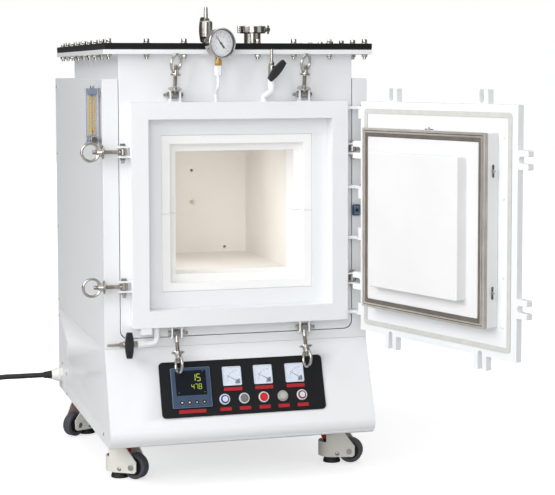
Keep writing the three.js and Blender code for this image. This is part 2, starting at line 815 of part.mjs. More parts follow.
function vacuumClamp() {
  const v = vacuum;
  const c = ringClamp;
  const middle = lidTop + seat + v.flangeAt + seat / 2;
  const half = c.height / 2;
  const groove = v.flange + seat;
  const lip = v.flangeThick + seat * 2;
  const profile = [
    [c.inner, middle - half],
    [c.outer, middle - half],
    [c.outer, middle + half],
    [c.inner, middle + half],
    [c.inner, middle + lip + v.flangeThick / 2],
    [groove, middle + lip],
    [groove, middle - lip],
    [c.inner, middle - lip - v.flangeThick / 2],
    [c.inner, middle - half],
  ];
  const ring = placed(turned(profile, 18), new THREE.Matrix4().makeTranslation(v.x, v.y, 0));
  const earX = v.x + c.outer - c.wingThick;
  const gap = box(
    [v.x + c.inner - overrun, v.x + c.outer + overrun],
    [v.y - c.screw / 2, v.y + c.screw / 2],
    [middle - half - overrun, middle + half + overrun],
  );
  const ears = [-1, 1].map((side) => {
    const near = v.y + side * (c.screw / 2);
    const far = v.y + side * c.earWidth;
    return box(
      [earX, earX + c.ear],
      [Math.min(near, far), Math.max(near, far)],
      [middle - half / 2, middle + half / 2],
    );
  });
  const screwX = earX + c.ear - c.screwInset;
  const screw = bar(
    [screwX, v.y - c.earWidth - c.screw, middle],
    [screwX, v.y + c.earWidth + c.wingThick * 2, middle],
    c.screw,
    8,
  );
  const wings = box(
    [screwX - c.wing / 4, screwX + c.wing / 4],
    [v.y - c.earWidth - c.wingThick, v.y - c.earWidth + overrun / 2],
    [middle - c.wing, middle + c.wing],
  );
  return join(cut(ring, gap), ...ears, screw, wings);
}
piece('vacuum_clamp', vacuumClamp(), stainless);

// Ball valves. Local z runs along the bore to the barb, and local -y points at the lever
const smallValve = {
  nut: 8, nutLength: 8, body: 8.6, bodyLength: 26, barbNut: 7, barbNutLength: 7, barb: 4.6, barbLength: 30,
  tip: 3.4, stem: 3.5, stemLength: 17, bore: 2, chamfer: 1,
};
const outletValve = { ...smallValve, stemLength: 9 };
const largeValve = {
  nut: 10, nutLength: 15, body: 16, bodyLength: 42, barbNut: 9, barbNutLength: 6, barb: 5.8, barbLength: 28,
  tip: 4.5, stem: 4, stemLength: 24, bore: 3, chamfer: 3,
};

function valveBody(v) {
  const z1 = v.nutLength;
  const z2 = z1 + v.bodyLength;
  const z3 = z2 + v.barbNutLength;
  const end = z3 + v.barbLength;
  const core = turned(
    [
      [0, 0],
      [v.nut, 0],
      [v.nut, z1],
      [v.body - v.chamfer, z1],
      [v.body, z1 + v.chamfer],
      [v.body, z2 - v.chamfer],
      [v.body - v.chamfer, z2],
      [v.barbNut, z2],
      [v.barbNut, z3],
      [v.barb, z3 + v.chamfer],
      [v.tip, end],
      [0, end],
    ],
    10,
  );
  const bore = bar([0, 0, z2], [0, 0, end + overrun], v.bore, 6);
  const middle = z1 + v.bodyLength / 2;
  const stem = bar([0, 0, middle], [0, -v.stemLength, middle], v.stem, 8);
  return join(cut(core, bore), stem);
}

// Lever: an oval grip on the end of the valve's stem, widest in the middle
const lever = { half: 31, side: 10.5, end: 6.5, thick: 8 };

function leverGrip(v) {
  const l = lever;
  const bulge = l.side * 2 - l.end;
  const shape = new THREE.Shape();
  shape.moveTo(-l.end, -l.half);
  shape.lineTo(l.end, -l.half);
  shape.quadraticCurveTo(bulge, 0, l.end, l.half);
  shape.lineTo(-l.end, l.half);
  shape.quadraticCurveTo(-bulge, 0, -l.end, -l.half);
  const front = -v.stemLength - seat;
  return frontPrism(shape, front - l.thick, front, 6);
}

function ballValve(name, sizes, place, turn, leverTurn) {
  const group = new THREE.Group();
  group.position.set(...place);
  group.rotation.set(0, turn.y, turn.z);
  furnace.add(group);
  piece(name, valveBody(sizes), stainless, group);
  const grip = piece(`${name}_lever`, leverGrip(sizes), blackRubber, group);
  grip.position.set(0, 0, sizes.nutLength + sizes.bodyLength / 2);
  grip.rotation.y = leverTurn;
}
const inletPlace = [inletPipe.x + inletPipe.shift, pipeY - forward, inletPipe.top + seat];
ballValve('inlet_valve', smallValve, inletPlace, { y: 0, z: 20 * rad }, 45 * rad);
const outletPlace = [outletPipe.left - seat, pipeY, outletPipe.z];
ballValve('outlet_valve', outletValve, outletPlace, { y: -Math.PI / 2, z: 0 }, 90 * rad);
ballValve('lid_valve', largeValve, [lidValve.x, lidValve.y, lidTop + seat], { y: 0, z: Math.PI }, 0);

// Pressure gauge on its stem. Local -y is the way that the dial faces
const gauge = {
  turn: 16 * rad, rise: 52, radius: 36, body: 33.5, back: 6.5, front: 22, bezel: 5, face: 13, inner: 32.5,
  stem: 6.5, hex: 9.5, hexHeight: 13, pin: 1,
};
gauge.centre = gaugePipe.top + gauge.rise;
const gaugeNeedle = {
  length: 23, tail: 14, half: 1, tailHalf: 2.4, hub: 3, thick: 1, angle: 128 * rad,
};
const gaugeGroup = new THREE.Group();
gaugeGroup.position.set(gaugePipe.x + gaugePipe.shift, pipeY - forward, gauge.centre);
gaugeGroup.rotation.z = gauge.turn;
furnace.add(gaugeGroup);

function pressureGauge() {
  const g = gauge;
  const chamfer = g.radius - g.body;
  const profile = [
    [0, -g.back],
    [g.body, -g.back],
    [g.body, g.front - g.bezel - chamfer / 2],
    [g.radius, g.front - g.bezel],
    [g.radius, g.front - chamfer / 2],
    [g.radius - chamfer / 2, g.front],
    [g.inner, g.front],
    [g.inner, g.face],
    [0, g.face],
  ];
  const body = placed(turned(profile, 24), standing);
  const low = gaugePipe.top + seat - g.centre;
  const stem = bar([0, 0, low], [0, 0, -g.body + overrun], g.stem, 8);
  const hex = bar([0, 0, low], [0, 0, low + g.hexHeight], g.hex, 6);
  const pinEnd = g.face + seat + gaugeNeedle.thick + g.pin;
  const pin = bar([0, -g.face + overrun, 0], [0, -pinEnd, 0], g.pin, 8);
  return join(body, stem, hex, pin);
}
piece('pressure_gauge', pressureGauge(), stainless, gaugeGroup);

function needle() {
  const n = gaugeNeedle;
  const blade = outline([
    [-n.tail, -n.tailHalf],
    [-n.tail, n.tailHalf],
    [0, n.half],
    [n.length, n.half / 4],
    [n.length, -n.half / 4],
    [0, -n.half],
  ]);
  const near = -gauge.face - seat;
  const far = near - n.thick;
  const hub = bar([0, far, 0], [0, near, 0], n.hub, 12);
  const bore = bar([0, far - overrun, 0], [0, near + overrun, 0], gauge.pin + seat, 8);
  return cut(join(frontPrism(blade, far, near), hub), bore);
}
const gaugeNeedleMesh = piece('gauge_needle', needle(), blackPaint, gaugeGroup);
gaugeNeedleMesh.rotation.y = -gaugeNeedle.angle;

// Gas flow meter on the housing's left side: clear tube block between two end blocks
const meter = {
  width: 33, depth: 28, y: 50, below: 20, height: 132, end: 20, topEnd: 16, waist: 26, boss: 6,
  out: 19, knobRise: 11, knob: 9.5, knobLength: 12, knobBore: 8.4, spindle: 3, cap: 5, capHeight: 5,
};
meter.high = shroud.top - meter.below;
meter.low = meter.high - meter.height;
meter.x = -halfWidth - meter.out;
meter.knobZ = meter.low + meter.knobRise;

function flowMeter() {
  const m = meter;
  const right = -halfWidth - seat;
  const left = right - overrun - m.width;
  const x = [left, right - overrun];
  const front = m.y;
  const rear = m.y + m.depth;
  const lower = box(x, [front, rear], [m.low, m.low + m.end]);
  const upper = box(x, [front, rear], [m.high - m.topEnd, m.high]);
  const inset = (m.width - m.waist) / 2;
  const tube = box(
    [left + inset, right - overrun - inset],
    [front + inset / 2, rear - inset],
    [m.low + m.end - overrun, m.high - m.topEnd + overrun],
  );
  const middleY = m.y + m.depth / 2;
  const bosses = [m.low + m.end / 2, m.high - m.topEnd / 2].map((z) =>
    bar([right - overrun * 2, middleY, z], [right, middleY, z], m.boss, 10),
  );
  const spindleEnd = front - m.knobLength / 2;
  const spindle = bar([m.x, front + overrun, m.knobZ], [m.x, spindleEnd, m.knobZ], m.spindle, 8);
  const cap = bar([m.x, middleY, m.high - overrun], [m.x, middleY, m.high + m.capHeight], m.cap, 10);
  return join(lower, upper, tube, ...bosses, spindle, cap);
}
piece('flow_meter', flowMeter(), paint(0xc9d0d6, 0.2));

function flowKnob() {
  const m = meter;
  const near = -seat;
  const body = bar([0, near, 0], [0, near - m.knobLength, 0], m.knob, 16, m.knob - m.capHeight / 4);
  const bore = bar([0, near + overrun, 0], [0, near - m.knobBore, 0], m.spindle + seat, 8);
  return cut(body, bore);
}
const flowKnobMesh = piece('flow_meter_knob', flowKnob(), stainless);
flowKnobMesh.position.set(meter.x, meter.y, meter.knobZ);

// Door switch on the housing's front strip, with its plunger
const doorSwitch = {
  out: 33, below: 2, width: 19, height: 27, depth: 10, plunger: 3, reach: 4, corner: 3,
};
doorSwitch.x = frame.size / 2 + doorSwitch.out;
doorSwitch.z = frame.centre - doorSwitch.below;

function doorSwitchBody() {
  const d = doorSwitch;
  const shape = rectangle(
    d.x - d.width / 2,
    d.z - d.height / 2,
    d.x + d.width / 2,
    d.z + d.height / 2,
    d.corner,
  );
  const rear = shroud.front - seat;
  const face = rear - d.depth;
  const body = frontPrism(shape, face, rear, 3);
  const plunger = bar([d.x, face + overrun, d.z], [d.x, face - d.reach, d.z], d.plunger, 10);
  return join(body, plunger);
}
piece('door_switch', doorSwitchBody(), paint(0x2f62b5, 0.5));

// Control panel on the sloping front: plate, temperature controller, three meters and five buttons.
// down is the distance from the slope's top edge
const controller = { x: -126.5, down: 102, size: 96, body: 90, bezel: 5, depth: 70, rim: 4, recess: 1.5 };
const panelMeter = {
  xs: [-25, 52, 131], down: 79.6, size: 46, bezel: 5, corner: 3, barrel: 18, clear: 1, depth: 38,
};
const button = {
  xs: [-47, 1, 49.5, 97, 145], down: 134.2, ring: 13, ringHeight: 4, cap: 9.5, rise: 6, flange: 11.5,
  flangeThick: 3, edge: 1,
};
const key = { count: 4, pitch: 18, radius: 5, height: 1, down: 137.5, x: -125 };

function controlPanel() {
  const p = panel;
  const y = -p.down;
  const low = seat;
  const high = low + p.thick;
  const plate = prism(
    rectangle(p.x - p.width / 2, y - p.height, p.x + p.width / 2, y, p.corner),
    low,
    high,
    4,
  );
  const ringTop = high + button.ringHeight;
  const rings = button.xs.map((x) =>
    bar([x, -button.down, low + p.thick / 2], [x, -button.down, ringTop], button.ring, 16),
  );
  const c = controller.body / 2 + seat;
  const below = low - overrun;
  const above = ringTop + overrun;
  const roundHole = (x, down, radius) => bar([x, -down, below], [x, -down, above], radius, 12);
  const meterHole = panelMeter.barrel + panelMeter.clear + seat;
  const buttonHole = button.cap + 2 * seat;
  const holes = [
    box(
      [controller.x - c, controller.x + c],
      [-controller.down - c, -controller.down + c],
      [below, above],
    ),
    ...panelMeter.xs.map((x) => roundHole(x, panelMeter.down, meterHole)),
    ...button.xs.map((x) => roundHole(x, button.down, buttonHole)),
  ];
  return cut(join(plate, ...rings), ...holes);
}
piece('control_panel', controlPanel(), blackPaint, slope);

function temperatureController() {
  const c = controller;
  const face = seat + panel.thick + seat;
  const half = c.size / 2;
  const inner = half - c.rim;
  const bezel = prism(rectangle(-half, -half, half, half, c.recess), face, face + c.bezel, 2);
  const z = face + c.bezel - c.recess;
  const recess = box([-inner, inner], [-inner, inner], [z, face + c.bezel + overrun]);
  const across = [-c.body / 2, c.body / 2];
  const body = box(across, across, [-c.depth, face + overrun]);
  const y = c.down - key.down;
  const keys = [];
  for (let i = 0; i < key.count; i += 1) {
    const x = key.x - c.x + (i - (key.count - 1) / 2) * key.pitch;
    keys.push(bar([x, y, z - key.height], [x, y, z + key.height], key.radius, 8));
  }
  return join(cut(bezel, recess), body, ...keys);
}
const controllerMesh = piece('temperature_controller', temperatureController(), slateBlue, slope);
controllerMesh.position.set(controller.x, -controller.down, 0);

function dialMeter() {
  const m = panelMeter;
  const face = seat + panel.thick + seat;
  const half = m.size / 2;
  const bezel = prism(rectangle(-half, -half, half, half, m.corner), face, face + m.bezel, 3);
  const barrel = bar([0, 0, -m.depth], [0, 0, face + overrun], m.barrel, 10);
  return join(bezel, barrel);
}
panelMeter.xs.forEach((x, i) => {
  const mesh = piece(`panel_meter_${i + 1}`, dialMeter(), paint(0xe9edf2, 0.3), slope);
  mesh.position.set(x, -panelMeter.down, 0);
});

function buttonCap() {
  const b = button;
  const top = seat + panel.thick + b.rise;
  const profile = [
    [0, -b.flangeThick],
    [b.flange, -b.flangeThick],
    [b.flange, 0],
    [b.cap, 0],
    [b.cap, top - b.edge],
    [b.cap - b.edge, top],
    [0, top],
  ];
  return turned(profile, 12);
}
const buttonColours = [0x2c57a8, 0x7d7d7d, 0xd8232a, 0xa9a8a4, 0xc9c4c0];
button.xs.forEach((x, i) => {
  const mesh = piece(`push_button_${i + 1}`, buttonCap(), paint(buttonColours[i], 0.35), slope);
  mesh.position.set(x, -button.down, 0);
});

// Door, modelled closed round its hinge axis and turned open about it
const doorGroup = new THREE.Group();
doorGroup.position.set(pivot.x, pivot.y, 0);
doorGroup.rotation.z = openAngle;
furnace.add(doorGroup);
const closed = new THREE.Group();
closed.position.set(-pivot.x, -pivot.y, 0);
doorGroup.add(closed);

const doorZ = frame.centre - door.drop;
const doorBack = -door.standOff;
const doorFront = doorBack - door.thick;
const lug = { half: 21, reach: 32, slot: 7, depth: 30, leftOver: 12 };
const leaf = { front: 5, reach: 6 };

// One lug beyond the plate's edge and the slot in it. Local x points out of the door
function lugShape() {
  return rectangle(-overrun, -lug.half, lug.reach, lug.half);
}

function slotShape(extra) {
  const end = lug.reach - lug.depth - extra;
  const shape = new THREE.Shape();
  shape.moveTo(lug.reach + overrun, lug.slot);
  shape.lineTo(end + lug.slot, lug.slot);
  shape.absarc(end + lug.slot, 0, lug.slot, Math.PI / 2, Math.PI * 1.5);
  shape.lineTo(lug.reach + overrun, -lug.slot);
  shape.closePath();
  return shape;
}

// Where each lug stands: the middle of its root, its turn in the door's plane and how much deeper
// its slot runs into the plate
const halfDoor = door.width / 2;
const lugs = [];
for (const side of [-1, 1]) {
  lugs.push({ x: halfDoor, z: side * clamp.spread, turn: 0, extra: 0 });
  lugs.push({ x: -halfDoor, z: side * clamp.spread, turn: 180 * rad, extra: 0 });
  lugs.push({ x: side * clamp.spread, z: halfDoor, turn: 90 * rad, extra: 0 });
  lugs.push({ x: side * clamp.spread, z: -halfDoor, turn: -90 * rad, extra: lug.leftOver });
}

function lugMatrix({ x, z, turn }) {
  return new THREE.Matrix4().makeRotationY(-turn).setPosition(x, 0, doorZ + z);
}

function doorPlate() {
  const half = halfDoor;
  const sheet = box([-half, half], [doorFront, doorBack], [doorZ - half, doorZ + half]);
  const tongue = frontPrism(lugShape(), doorFront, doorBack);
  const bodies = lugs.map((item) => placed(tongue, lugMatrix(item)));
  const slots = lugs.map((item) => {
    const slot = frontPrism(slotShape(item.extra), doorFront - overrun, doorBack + overrun, 3);
    return placed(slot, lugMatrix(item));
  });
  const knuckles = [];
  const bores = [];
  for (const { level, way } of hinges) {
    const near = level + way * (pivot.arm / 2 + seat);
    const far = near + way * pivot.knuckleHeight;
    const z = [Math.min(near, far), Math.max(near, far)];
    knuckles.push(bar([pivot.x, pivot.y, z[0]], [pivot.x, pivot.y, z[1]], pivot.knuckle, 12));
    knuckles.push(
      box([half - leaf.reach, pivot.x], [pivot.y - leaf.front, doorFront + leaf.reach], z),
    );
    const ends = [z[0] - overrun, z[1] + overrun].map((end) => [pivot.x, pivot.y, end]);
    bores.push(bar(...ends, pivot.pin + 2 * running, 8));
  }
  return cut(join(sheet, ...bodies, ...knuckles), ...slots, ...bores);
}
piece('door_plate', doorPlate(), whitePaint, closed);

// Rubber seal strip, insulating jacket, steel heat ring and ceramic plug on the door's inner side
const doorSeal = { inset: 17, width: 11, corner: 10, squash: 0.3 };
doorSeal.half = halfDoor - doorSeal.inset;
const jacket = { sideGap: 11, endGap: 15, rise: 4, depth: 30.7 };
jacket.half = frame.opening / 2 - jacket.sideGap;
jacket.halfHeight = frame.opening / 2 - jacket.endGap;
const heatRing = { width: 19, depth: 9.7, groove: 1.5, ribs: 3 };
const plug = { clear: 9, rise: 5, base: 8.7, depth: 26, chamfer: 5 };
plug.half = collar.mouth / 2 - plug.clear;
const jacketZ = doorZ + jacket.rise;
const plugZ = doorZ + plug.rise;
const jacketBack = doorBack + seat + jacket.depth;
const ringBack = jacketBack + seat + heatRing.depth;

function squareFrame(half, width, corner, y0, y1, z, curveSegments) {
  const outer = frontPrism(rectangle(-half, z - half, half, z + half, corner), y0, y1, curveSegments);
  const inner = half - width;
  const innerCorner = Math.max(corner - width, 0);
  const hole = frontPrism(
    rectangle(-inner, z - inner, inner, z + inner, innerCorner),
    y0 - overrun,
    y1 + overrun,
    curveSegments,
  );
  return cut(outer, hole);
}
const seal = squareFrame(
  doorSeal.half,
  doorSeal.width,
  doorSeal.corner,
  doorBack + seat / 3,
  -doorSeal.squash,
  doorZ,
  4,
);
piece('door_seal', seal, gasketBeige, closed);

const jacketBody = box(
  [-jacket.half, jacket.half],
  [doorBack + seat, jacketBack],
  [jacketZ - jacket.halfHeight, jacketZ + jacket.halfHeight],
);
piece('door_jacket', jacketBody, whitePaint, closed);

// The heat ring's rim has shallow grooves that run all round it
function doorHeatRing() {
  const y0 = jacketBack + seat;
  const x = jacket.half;
  const z = jacket.halfHeight;
  const ring = cut(
    box([-x, x], [y0, ringBack], [jacketZ - z, jacketZ + z]),
    box(
      [heatRing.width - x, x - heatRing.width],
      [y0 - overrun, ringBack + overrun],
      [jacketZ - z + heatRing.width, jacketZ + z - heatRing.width],
    ),
  );
  const pitch = heatRing.depth / (heatRing.ribs + 1);
  const grooves = [];
  for (let i = 1; i <= heatRing.ribs; i += 1) {
    const y = [y0 + i * pitch - heatRing.groove / 2, y0 + i * pitch + heatRing.groove / 2];
    const outer = box(
      [-x - overrun, x + overrun],
      y,
      [jacketZ - z - overrun, jacketZ + z + overrun],
    );
    const kept = box(
      [heatRing.groove - x, x - heatRing.groove],
      [y[0] - overrun, y[1] + overrun],
      [jacketZ - z + heatRing.groove, jacketZ + z - heatRing.groove],
    );
    grooves.push(cut(outer, kept));
  }
  return cut(ring, ...grooves);
}
piece('door_heat_ring', doorHeatRing(), stainless, closed);

function doorPlug() {
  const x = jacket.half - heatRing.width - block.clear;
  const z = jacket.halfHeight - heatRing.width - block.clear;
  const y0 = jacketBack + seat;
  const base = box([-x, x], [y0, y0 + plug.base], [jacketZ - z, jacketZ + z]);
  const p = plug;
  const straight = box(
    [-p.half, p.half],
    [y0 + p.base - overrun, y0 + p.base + p.depth - p.chamfer],
    [plugZ - p.half, plugZ + p.half],
  );
  const start = y0 + p.base + p.depth - p.chamfer - seat;
  const end = y0 + p.base + p.depth;
  const far = (p.half - p.chamfer) * Math.SQRT2;
  const taper = new THREE.CylinderGeometry(far, p.half * Math.SQRT2, end - start, 4);
  taper.rotateY(45 * rad);
  taper.translate(0, (start + end) / 2, plugZ);
  return join(base, straight, solid(taper));
}
piece('door_plug', doorPlug(), ceramicWhite, closed);

// Levelling casters: a swivelling fork with the foot and its adjusting ring, and a wheel behind
const foot = {
  radius: 22, height: 14, stem: 8, flange: 21, flangeLow: 48, ring: 27, ringLow: 62, ringHigh: 86,
};
const bracket = {
  radius: 34, tailHalf: 20, tail: 62, wall: 3, low: 18, plate: 4, windowLow: 55, windowHigh: 90,
  shoulder: 20, tailTop: 46, open: 5, axleOut: 4,
};
bracket.top = cabinet.bottom - casterPlate.thick - seat;
const wheel = { trail: 48, radius: 31, axleZ: 32, half: 12, axle: 5, crown: 2, head: 8 };
const casters = [
  { name: 'front_left', x: -caster.x, y: caster.front, turn: -46 * rad },
  { name: 'front_right', x: caster.x, y: caster.front, turn: -27 * rad },
  { name: 'rear_left', x: -caster.x, y: caster.rear, turn: 215 * rad },
  { name: 'rear_right', x: caster.x, y: caster.rear, turn: 160 * rad },
];

// The fork's plan: round at the swivel and drawn in to the wheel, or its inside when set in
function bracketPlan(inset) {
  const b = bracket;
  const radius = b.radius - inset;
  const lean = Math.atan2(b.radius - b.tailHalf, b.tail);
  const shape = new THREE.Shape();
  shape.absarc(0, 0, radius, Math.PI / 2 - lean, Math.PI * 1.5 + lean);
  shape.lineTo(b.tail, inset - b.tailHalf);
  shape.lineTo(b.tail, b.tailHalf - inset);
  shape.closePath();
  return shape;
}

function casterBracket() {
  const b = bracket;
  const shell = prism(bracketPlan(0), b.low, b.top, 6);
  const hollow = prism(bracketPlan(b.wall), b.low - overrun, b.top - b.plate, 6);
  const end = box(
    [b.tail - b.open, b.tail + overrun],
    [b.wall - b.tailHalf, b.tailHalf - b.wall],
    [b.low - overrun, b.top + overrun],
  );
  const slant = frontPrism(
    outline([
      [b.shoulder, b.top + overrun],
      [b.shoulder, b.top],
      [b.tail + overrun, b.tailTop],
      [b.tail + overrun, b.top + overrun],
    ]),
    -b.radius,
    b.radius,
  );
  const window = box(
    [-b.radius - overrun, -b.radius / 4],
    [-b.radius - overrun, b.radius + overrun],
    [b.windowLow, b.windowHigh],
  );
  const axleEnds = [-1, 1].map((side) => [
    wheel.trail, side * (b.tailHalf + b.axleOut), wheel.axleZ,
  ]);
  const axle = bar(...axleEnds, wheel.axle, 8);
  const heads = [-1, 1].map((side) =>
    bar(
      [wheel.trail, side * (b.tailHalf - overrun), wheel.axleZ],
      [wheel.trail, side * (b.tailHalf + b.axleOut + overrun), wheel.axleZ],
      wheel.head,
      6,
    ),
  );
  const f = foot;
  const column = turned(
    [
      [0, 0],
      [f.radius, 0],
      [f.radius, f.height - overrun],
      [f.radius - overrun, f.height],
      [f.stem, f.height],
      [f.stem, f.flangeLow],
      [f.flange, f.flangeLow],
      [f.flange, f.ringLow],
      [f.ring, f.ringLow],
      [f.ring, f.ringHigh],
      [f.stem, f.ringHigh],
      [f.stem, b.top - b.plate / 2],
      [0, b.top - b.plate / 2],
    ],
    12,
  );
  return join(cut(shell, hollow, end, slant, window), axle, ...heads, column);
}

function casterWheel() {
  const w = wheel;
  const profile = [
    [w.axle + running * 2, -w.half],
    [w.radius - w.crown, -w.half],
    [w.radius, -w.half + w.crown],
    [w.radius, w.half - w.crown],
    [w.radius - w.crown, w.half],
    [w.axle + running * 2, w.half],
    [w.axle + running * 2, -w.half],
  ];
  return placed(turned(profile, 18), standing);
}

for (const item of casters) {
  const group = new THREE.Group();
  group.position.set(item.x, item.y, 0);
  group.rotation.z = item.turn;
  furnace.add(group);
  piece(`caster_${item.name}`, casterBracket(), whitePaint, group);
  const wheelMesh = piece(`wheel_${item.name}`, casterWheel(), paint(0x4a4c50, 0.6), group);
  wheelMesh.position.set(wheel.trail, 0, wheel.axleZ);
}

// Cable gland in the left wall: threaded barrel with its inner nut, collar and tapered sleeve
const glandBody = {
  nut: 15, nutThick: 5, collarLength: 12, taper: 22, taperEnd: 12, sleeve: 12, sleeveEnd: 9.5,
  sleeveLength: 18,
};
const cable = { radius: 7, clear: 0.4 };

function cableGland() {
  const g = glandBody;
  const outside = halfWidth + seat;
  const inside = halfWidth - cabinet.wall - seat;
  const collarEnd = outside + g.collarLength;
  const taperEnd = collarEnd + g.taper;
  const bore = cable.radius + cable.clear;
  const profile = [
    [bore, inside - g.nutThick],
    [g.nut, inside - g.nutThick],
    [g.nut, inside],
    [gland.thread, inside],
    [gland.thread, outside],
    [gland.collar, outside],
    [gland.collar, collarEnd],
    [g.taperEnd, taperEnd],
    [g.sleeve, taperEnd + seat],
    [g.sleeveEnd, taperEnd + g.sleeveLength],
    [bore, taperEnd + g.sleeveLength],
    [bore, inside - g.nutThick],
  ];
  const toLeft = new THREE.Matrix4().makeRotationY(-Math.PI / 2).setPosition(0, gland.y, gland.z);
  return placed(turned(profile, 14), toLeft);
}
piece('cable_gland', cableGland(), whitePaint);

// Mains cable. It leaves the gland to the left, bends down to the floor and lies in a round coil of
// two layers. Its free stretch follows points chosen by hand, each the distance out from the
// cabinet's wall and the height
const route = [
  [19, 151],
  [46, 151],
  [84, 151],
  [124, 151],
  [164, 151],
  [189.7, 146.5],
  [212.2, 133.4],
  [228.9, 113.5],
  [237.9, 89.1],
  [240.1, 69.2],
  [249.1, 44.8],
  [265.8, 24.9],
  [288.3, 11.8],
  [315, 7.3],
  [329.7, 7.3],
].map(([out, z]) => [-halfWidth - out, gland.y, z]);
const free = pipe(route, cable.radius, 8, 14);
piece('mains_cable', free, blackRubber);

const coil = {
  out: 344, radius: 84, turns: 3.4, pitch: 14.8, z: 7.3, steps: 24, sides: 6, tail: 52, lead: 14,
};
coil.x = -halfWidth - coil.out;
const plugBody = {
  length: 96, nut: 15, nutLength: 18, grip: 21, gripLength: 58, flange: 26, flangeThick: 7, face: 22,
  pin: 3, pinCircle: 11, pinLength: 22,
};

// Centre line of the coil: a straight lead, a spiral that runs in and out again and climbs a layer
// over the half turn where it reverses, and a straight tail that rises to the plug's height
function coilPath() {
  const centre = [coil.x, gland.y - coil.radius];
  const points = [[coil.x + coil.lead, gland.y, coil.z]];
  const count = Math.round(coil.turns * coil.steps);
  for (let i = 0; i <= count; i += 1) {
    const turn = i / coil.steps;
    const half = coil.turns / 2;
    const radius = coil.radius - coil.pitch * (half - Math.abs(turn - half));
    const climb = Math.min(Math.max((turn - half) * 2 + 1 / 2, 0), 1);
    const rise = coil.pitch * climb * climb * (3 - 2 * climb);
    const angle = Math.PI / 2 + turn * Math.PI * 2;
    points.push([
      centre[0] + radius * Math.cos(angle),
      centre[1] + radius * Math.sin(angle),
      coil.z + rise,
    ]);
  }
  const angle = Math.PI / 2 + (count / coil.steps) * Math.PI * 2;
  const way = [-Math.sin(angle), Math.cos(angle)];
  const last = points[points.length - 1];
  const plugZ = plugBody.flange + seat;
  for (const [share, height] of [[1 / 3, 1 / 2], [2 / 3, 1], [1, 1]]) {
    points.push([
      last[0] + way[0] * coil.tail * share,
      last[1] + way[1] * coil.tail * share,
      last[2] + (plugZ - last[2]) * height,
    ]);
  }
  return { points: points.map((point) => new THREE.Vector3(...point)), angle };
}

// A closed tube of flat-ended rings round a centre line
function tube(points, radius, sides) {
  const position = [];
  const index = [];
  const up = new THREE.Vector3(0, 0, 1);
  points.forEach((point, i) => {
    const before = points[Math.max(i - 1, 0)];
    const after = points[Math.min(i + 1, points.length - 1)];
    const along = after.clone().sub(before).normalize();
    const across = along.clone().cross(up).normalize();
    const upward = across.clone().cross(along);
    for (let k = 0; k < sides; k += 1) {
      const angle = ((k + 1 / 2) * Math.PI * 2) / sides;
      const corner = point.clone();
      corner.addScaledVector(across, radius * Math.cos(angle));
      corner.addScaledVector(upward, radius * Math.sin(angle));
      position.push(corner.x, corner.y, corner.z);
    }
  });
  for (let i = 0; i < points.length - 1; i += 1) {
    for (let k = 0; k < sides; k += 1) {
      const a = i * sides + k;
      const b = i * sides + ((k + 1) % sides);
      index.push(a, b + sides, b, a, a + sides, b + sides);
    }
  }
  const end = (points.length - 1) * sides;
  for (let k = 1; k < sides - 1; k += 1) {
    index.push(0, k, k + 1);
    index.push(end, end + k + 1, end + k);
  }
  const geometry = new THREE.BufferGeometry();
  geometry.setAttribute('position', new THREE.Float32BufferAttribute(position, 3));
  geometry.setIndex(index);
  return geometry;
}

// Least gap between stretches of the tube that are more than four diameters apart along it
function leastGap(points, radius) {
  const reach = [0];
  for (let i = 1; i < points.length; i += 1) {
    reach.push(reach[i - 1] + points[i].distanceTo(points[i - 1]));
  }
  const apart = radius * 8;
  let least = Infinity;
  const line = new THREE.Line3();
  const near = new THREE.Vector3();
  for (let i = 0; i < points.length; i += 1) {
    for (let j = i + 1; j < points.length; j += 1) {
      if (reach[j - 1] - reach[i] < apart) continue;
      line.set(points[j - 1], points[j]);
      line.closestPointToPoint(points[i], true, near);
      least = Math.min(least, near.distanceTo(points[i]) - radius * 2);
    }
  }
  return least;
}

const coiled = coilPath();
piece('mains_coil', tube(coiled.points, cable.radius, coil.sides), blackRubber);
console.log(`least gap of the coil to itself: ${leastGap(coiled.points, cable.radius).toFixed(2)} mm`);

// Mains plug on the cable's end, with three pins. Local z points out of the cable
function mainsPlug() {
  const p = plugBody;
  const collarStart = p.nutLength + p.gripLength;
  const collarEnd = collarStart + p.flangeThick;
  const body = turned(
    [
      [0, 0],
      [p.nut, 0],
      [p.nut, p.nutLength],
      [p.grip, p.nutLength + p.flangeThick],
      [p.face, collarStart],
      [p.flange, collarStart],
      [p.flange, collarEnd],
      [p.face, collarEnd],
      [p.face, p.length],
      [0, p.length],
    ],
    14,
  );
  const pins = [0, 1, 2].map((i) => {
    const angle = (i * Math.PI * 2) / 3;
    const x = p.pinCircle * Math.cos(angle);
    const y = p.pinCircle * Math.sin(angle);
    return bar([x, y, p.length - overrun], [x, y, p.length + p.pinLength], p.pin, 8);
  });
  return join(body, ...pins);
}
const plugEnd = coiled.points[coiled.points.length - 1];
const plugMesh = piece('mains_plug', mainsPlug(), slateBlue);
const plugWay = new THREE.Vector3(-Math.sin(coiled.angle), Math.cos(coiled.angle), 0);
plugMesh.quaternion.setFromUnitVectors(new THREE.Vector3(0, 0, 1), plugWay);
plugMesh.position.copy(plugEnd).addScaledVector(plugWay, seat);

// The furnace stands on z = 0 with the middle of its plan at the origin, cord left out
const cordNames = ['mains_cable', 'mains_coil', 'mains_plug'];
furnace.updateMatrixWorld(true);
const bounds = new THREE.Box3();
furnace.traverse((item) => {
  if (item.isMesh && !cordNames.includes(item.name)) bounds.expandByObject(item, true);
});
const middle = bounds.getCenter(new THREE.Vector3());
furnace.position.set(-middle.x, -middle.y, -bounds.min.z);

const part = new THREE.Group();
part.add(furnace);
export default part;
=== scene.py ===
import math

import bmesh
import bpy
from bpy.props import FloatProperty, FloatVectorProperty, IntProperty, PointerProperty
from mathutils import Matrix, Vector
from mathutils.geometry import tessellate_polygon


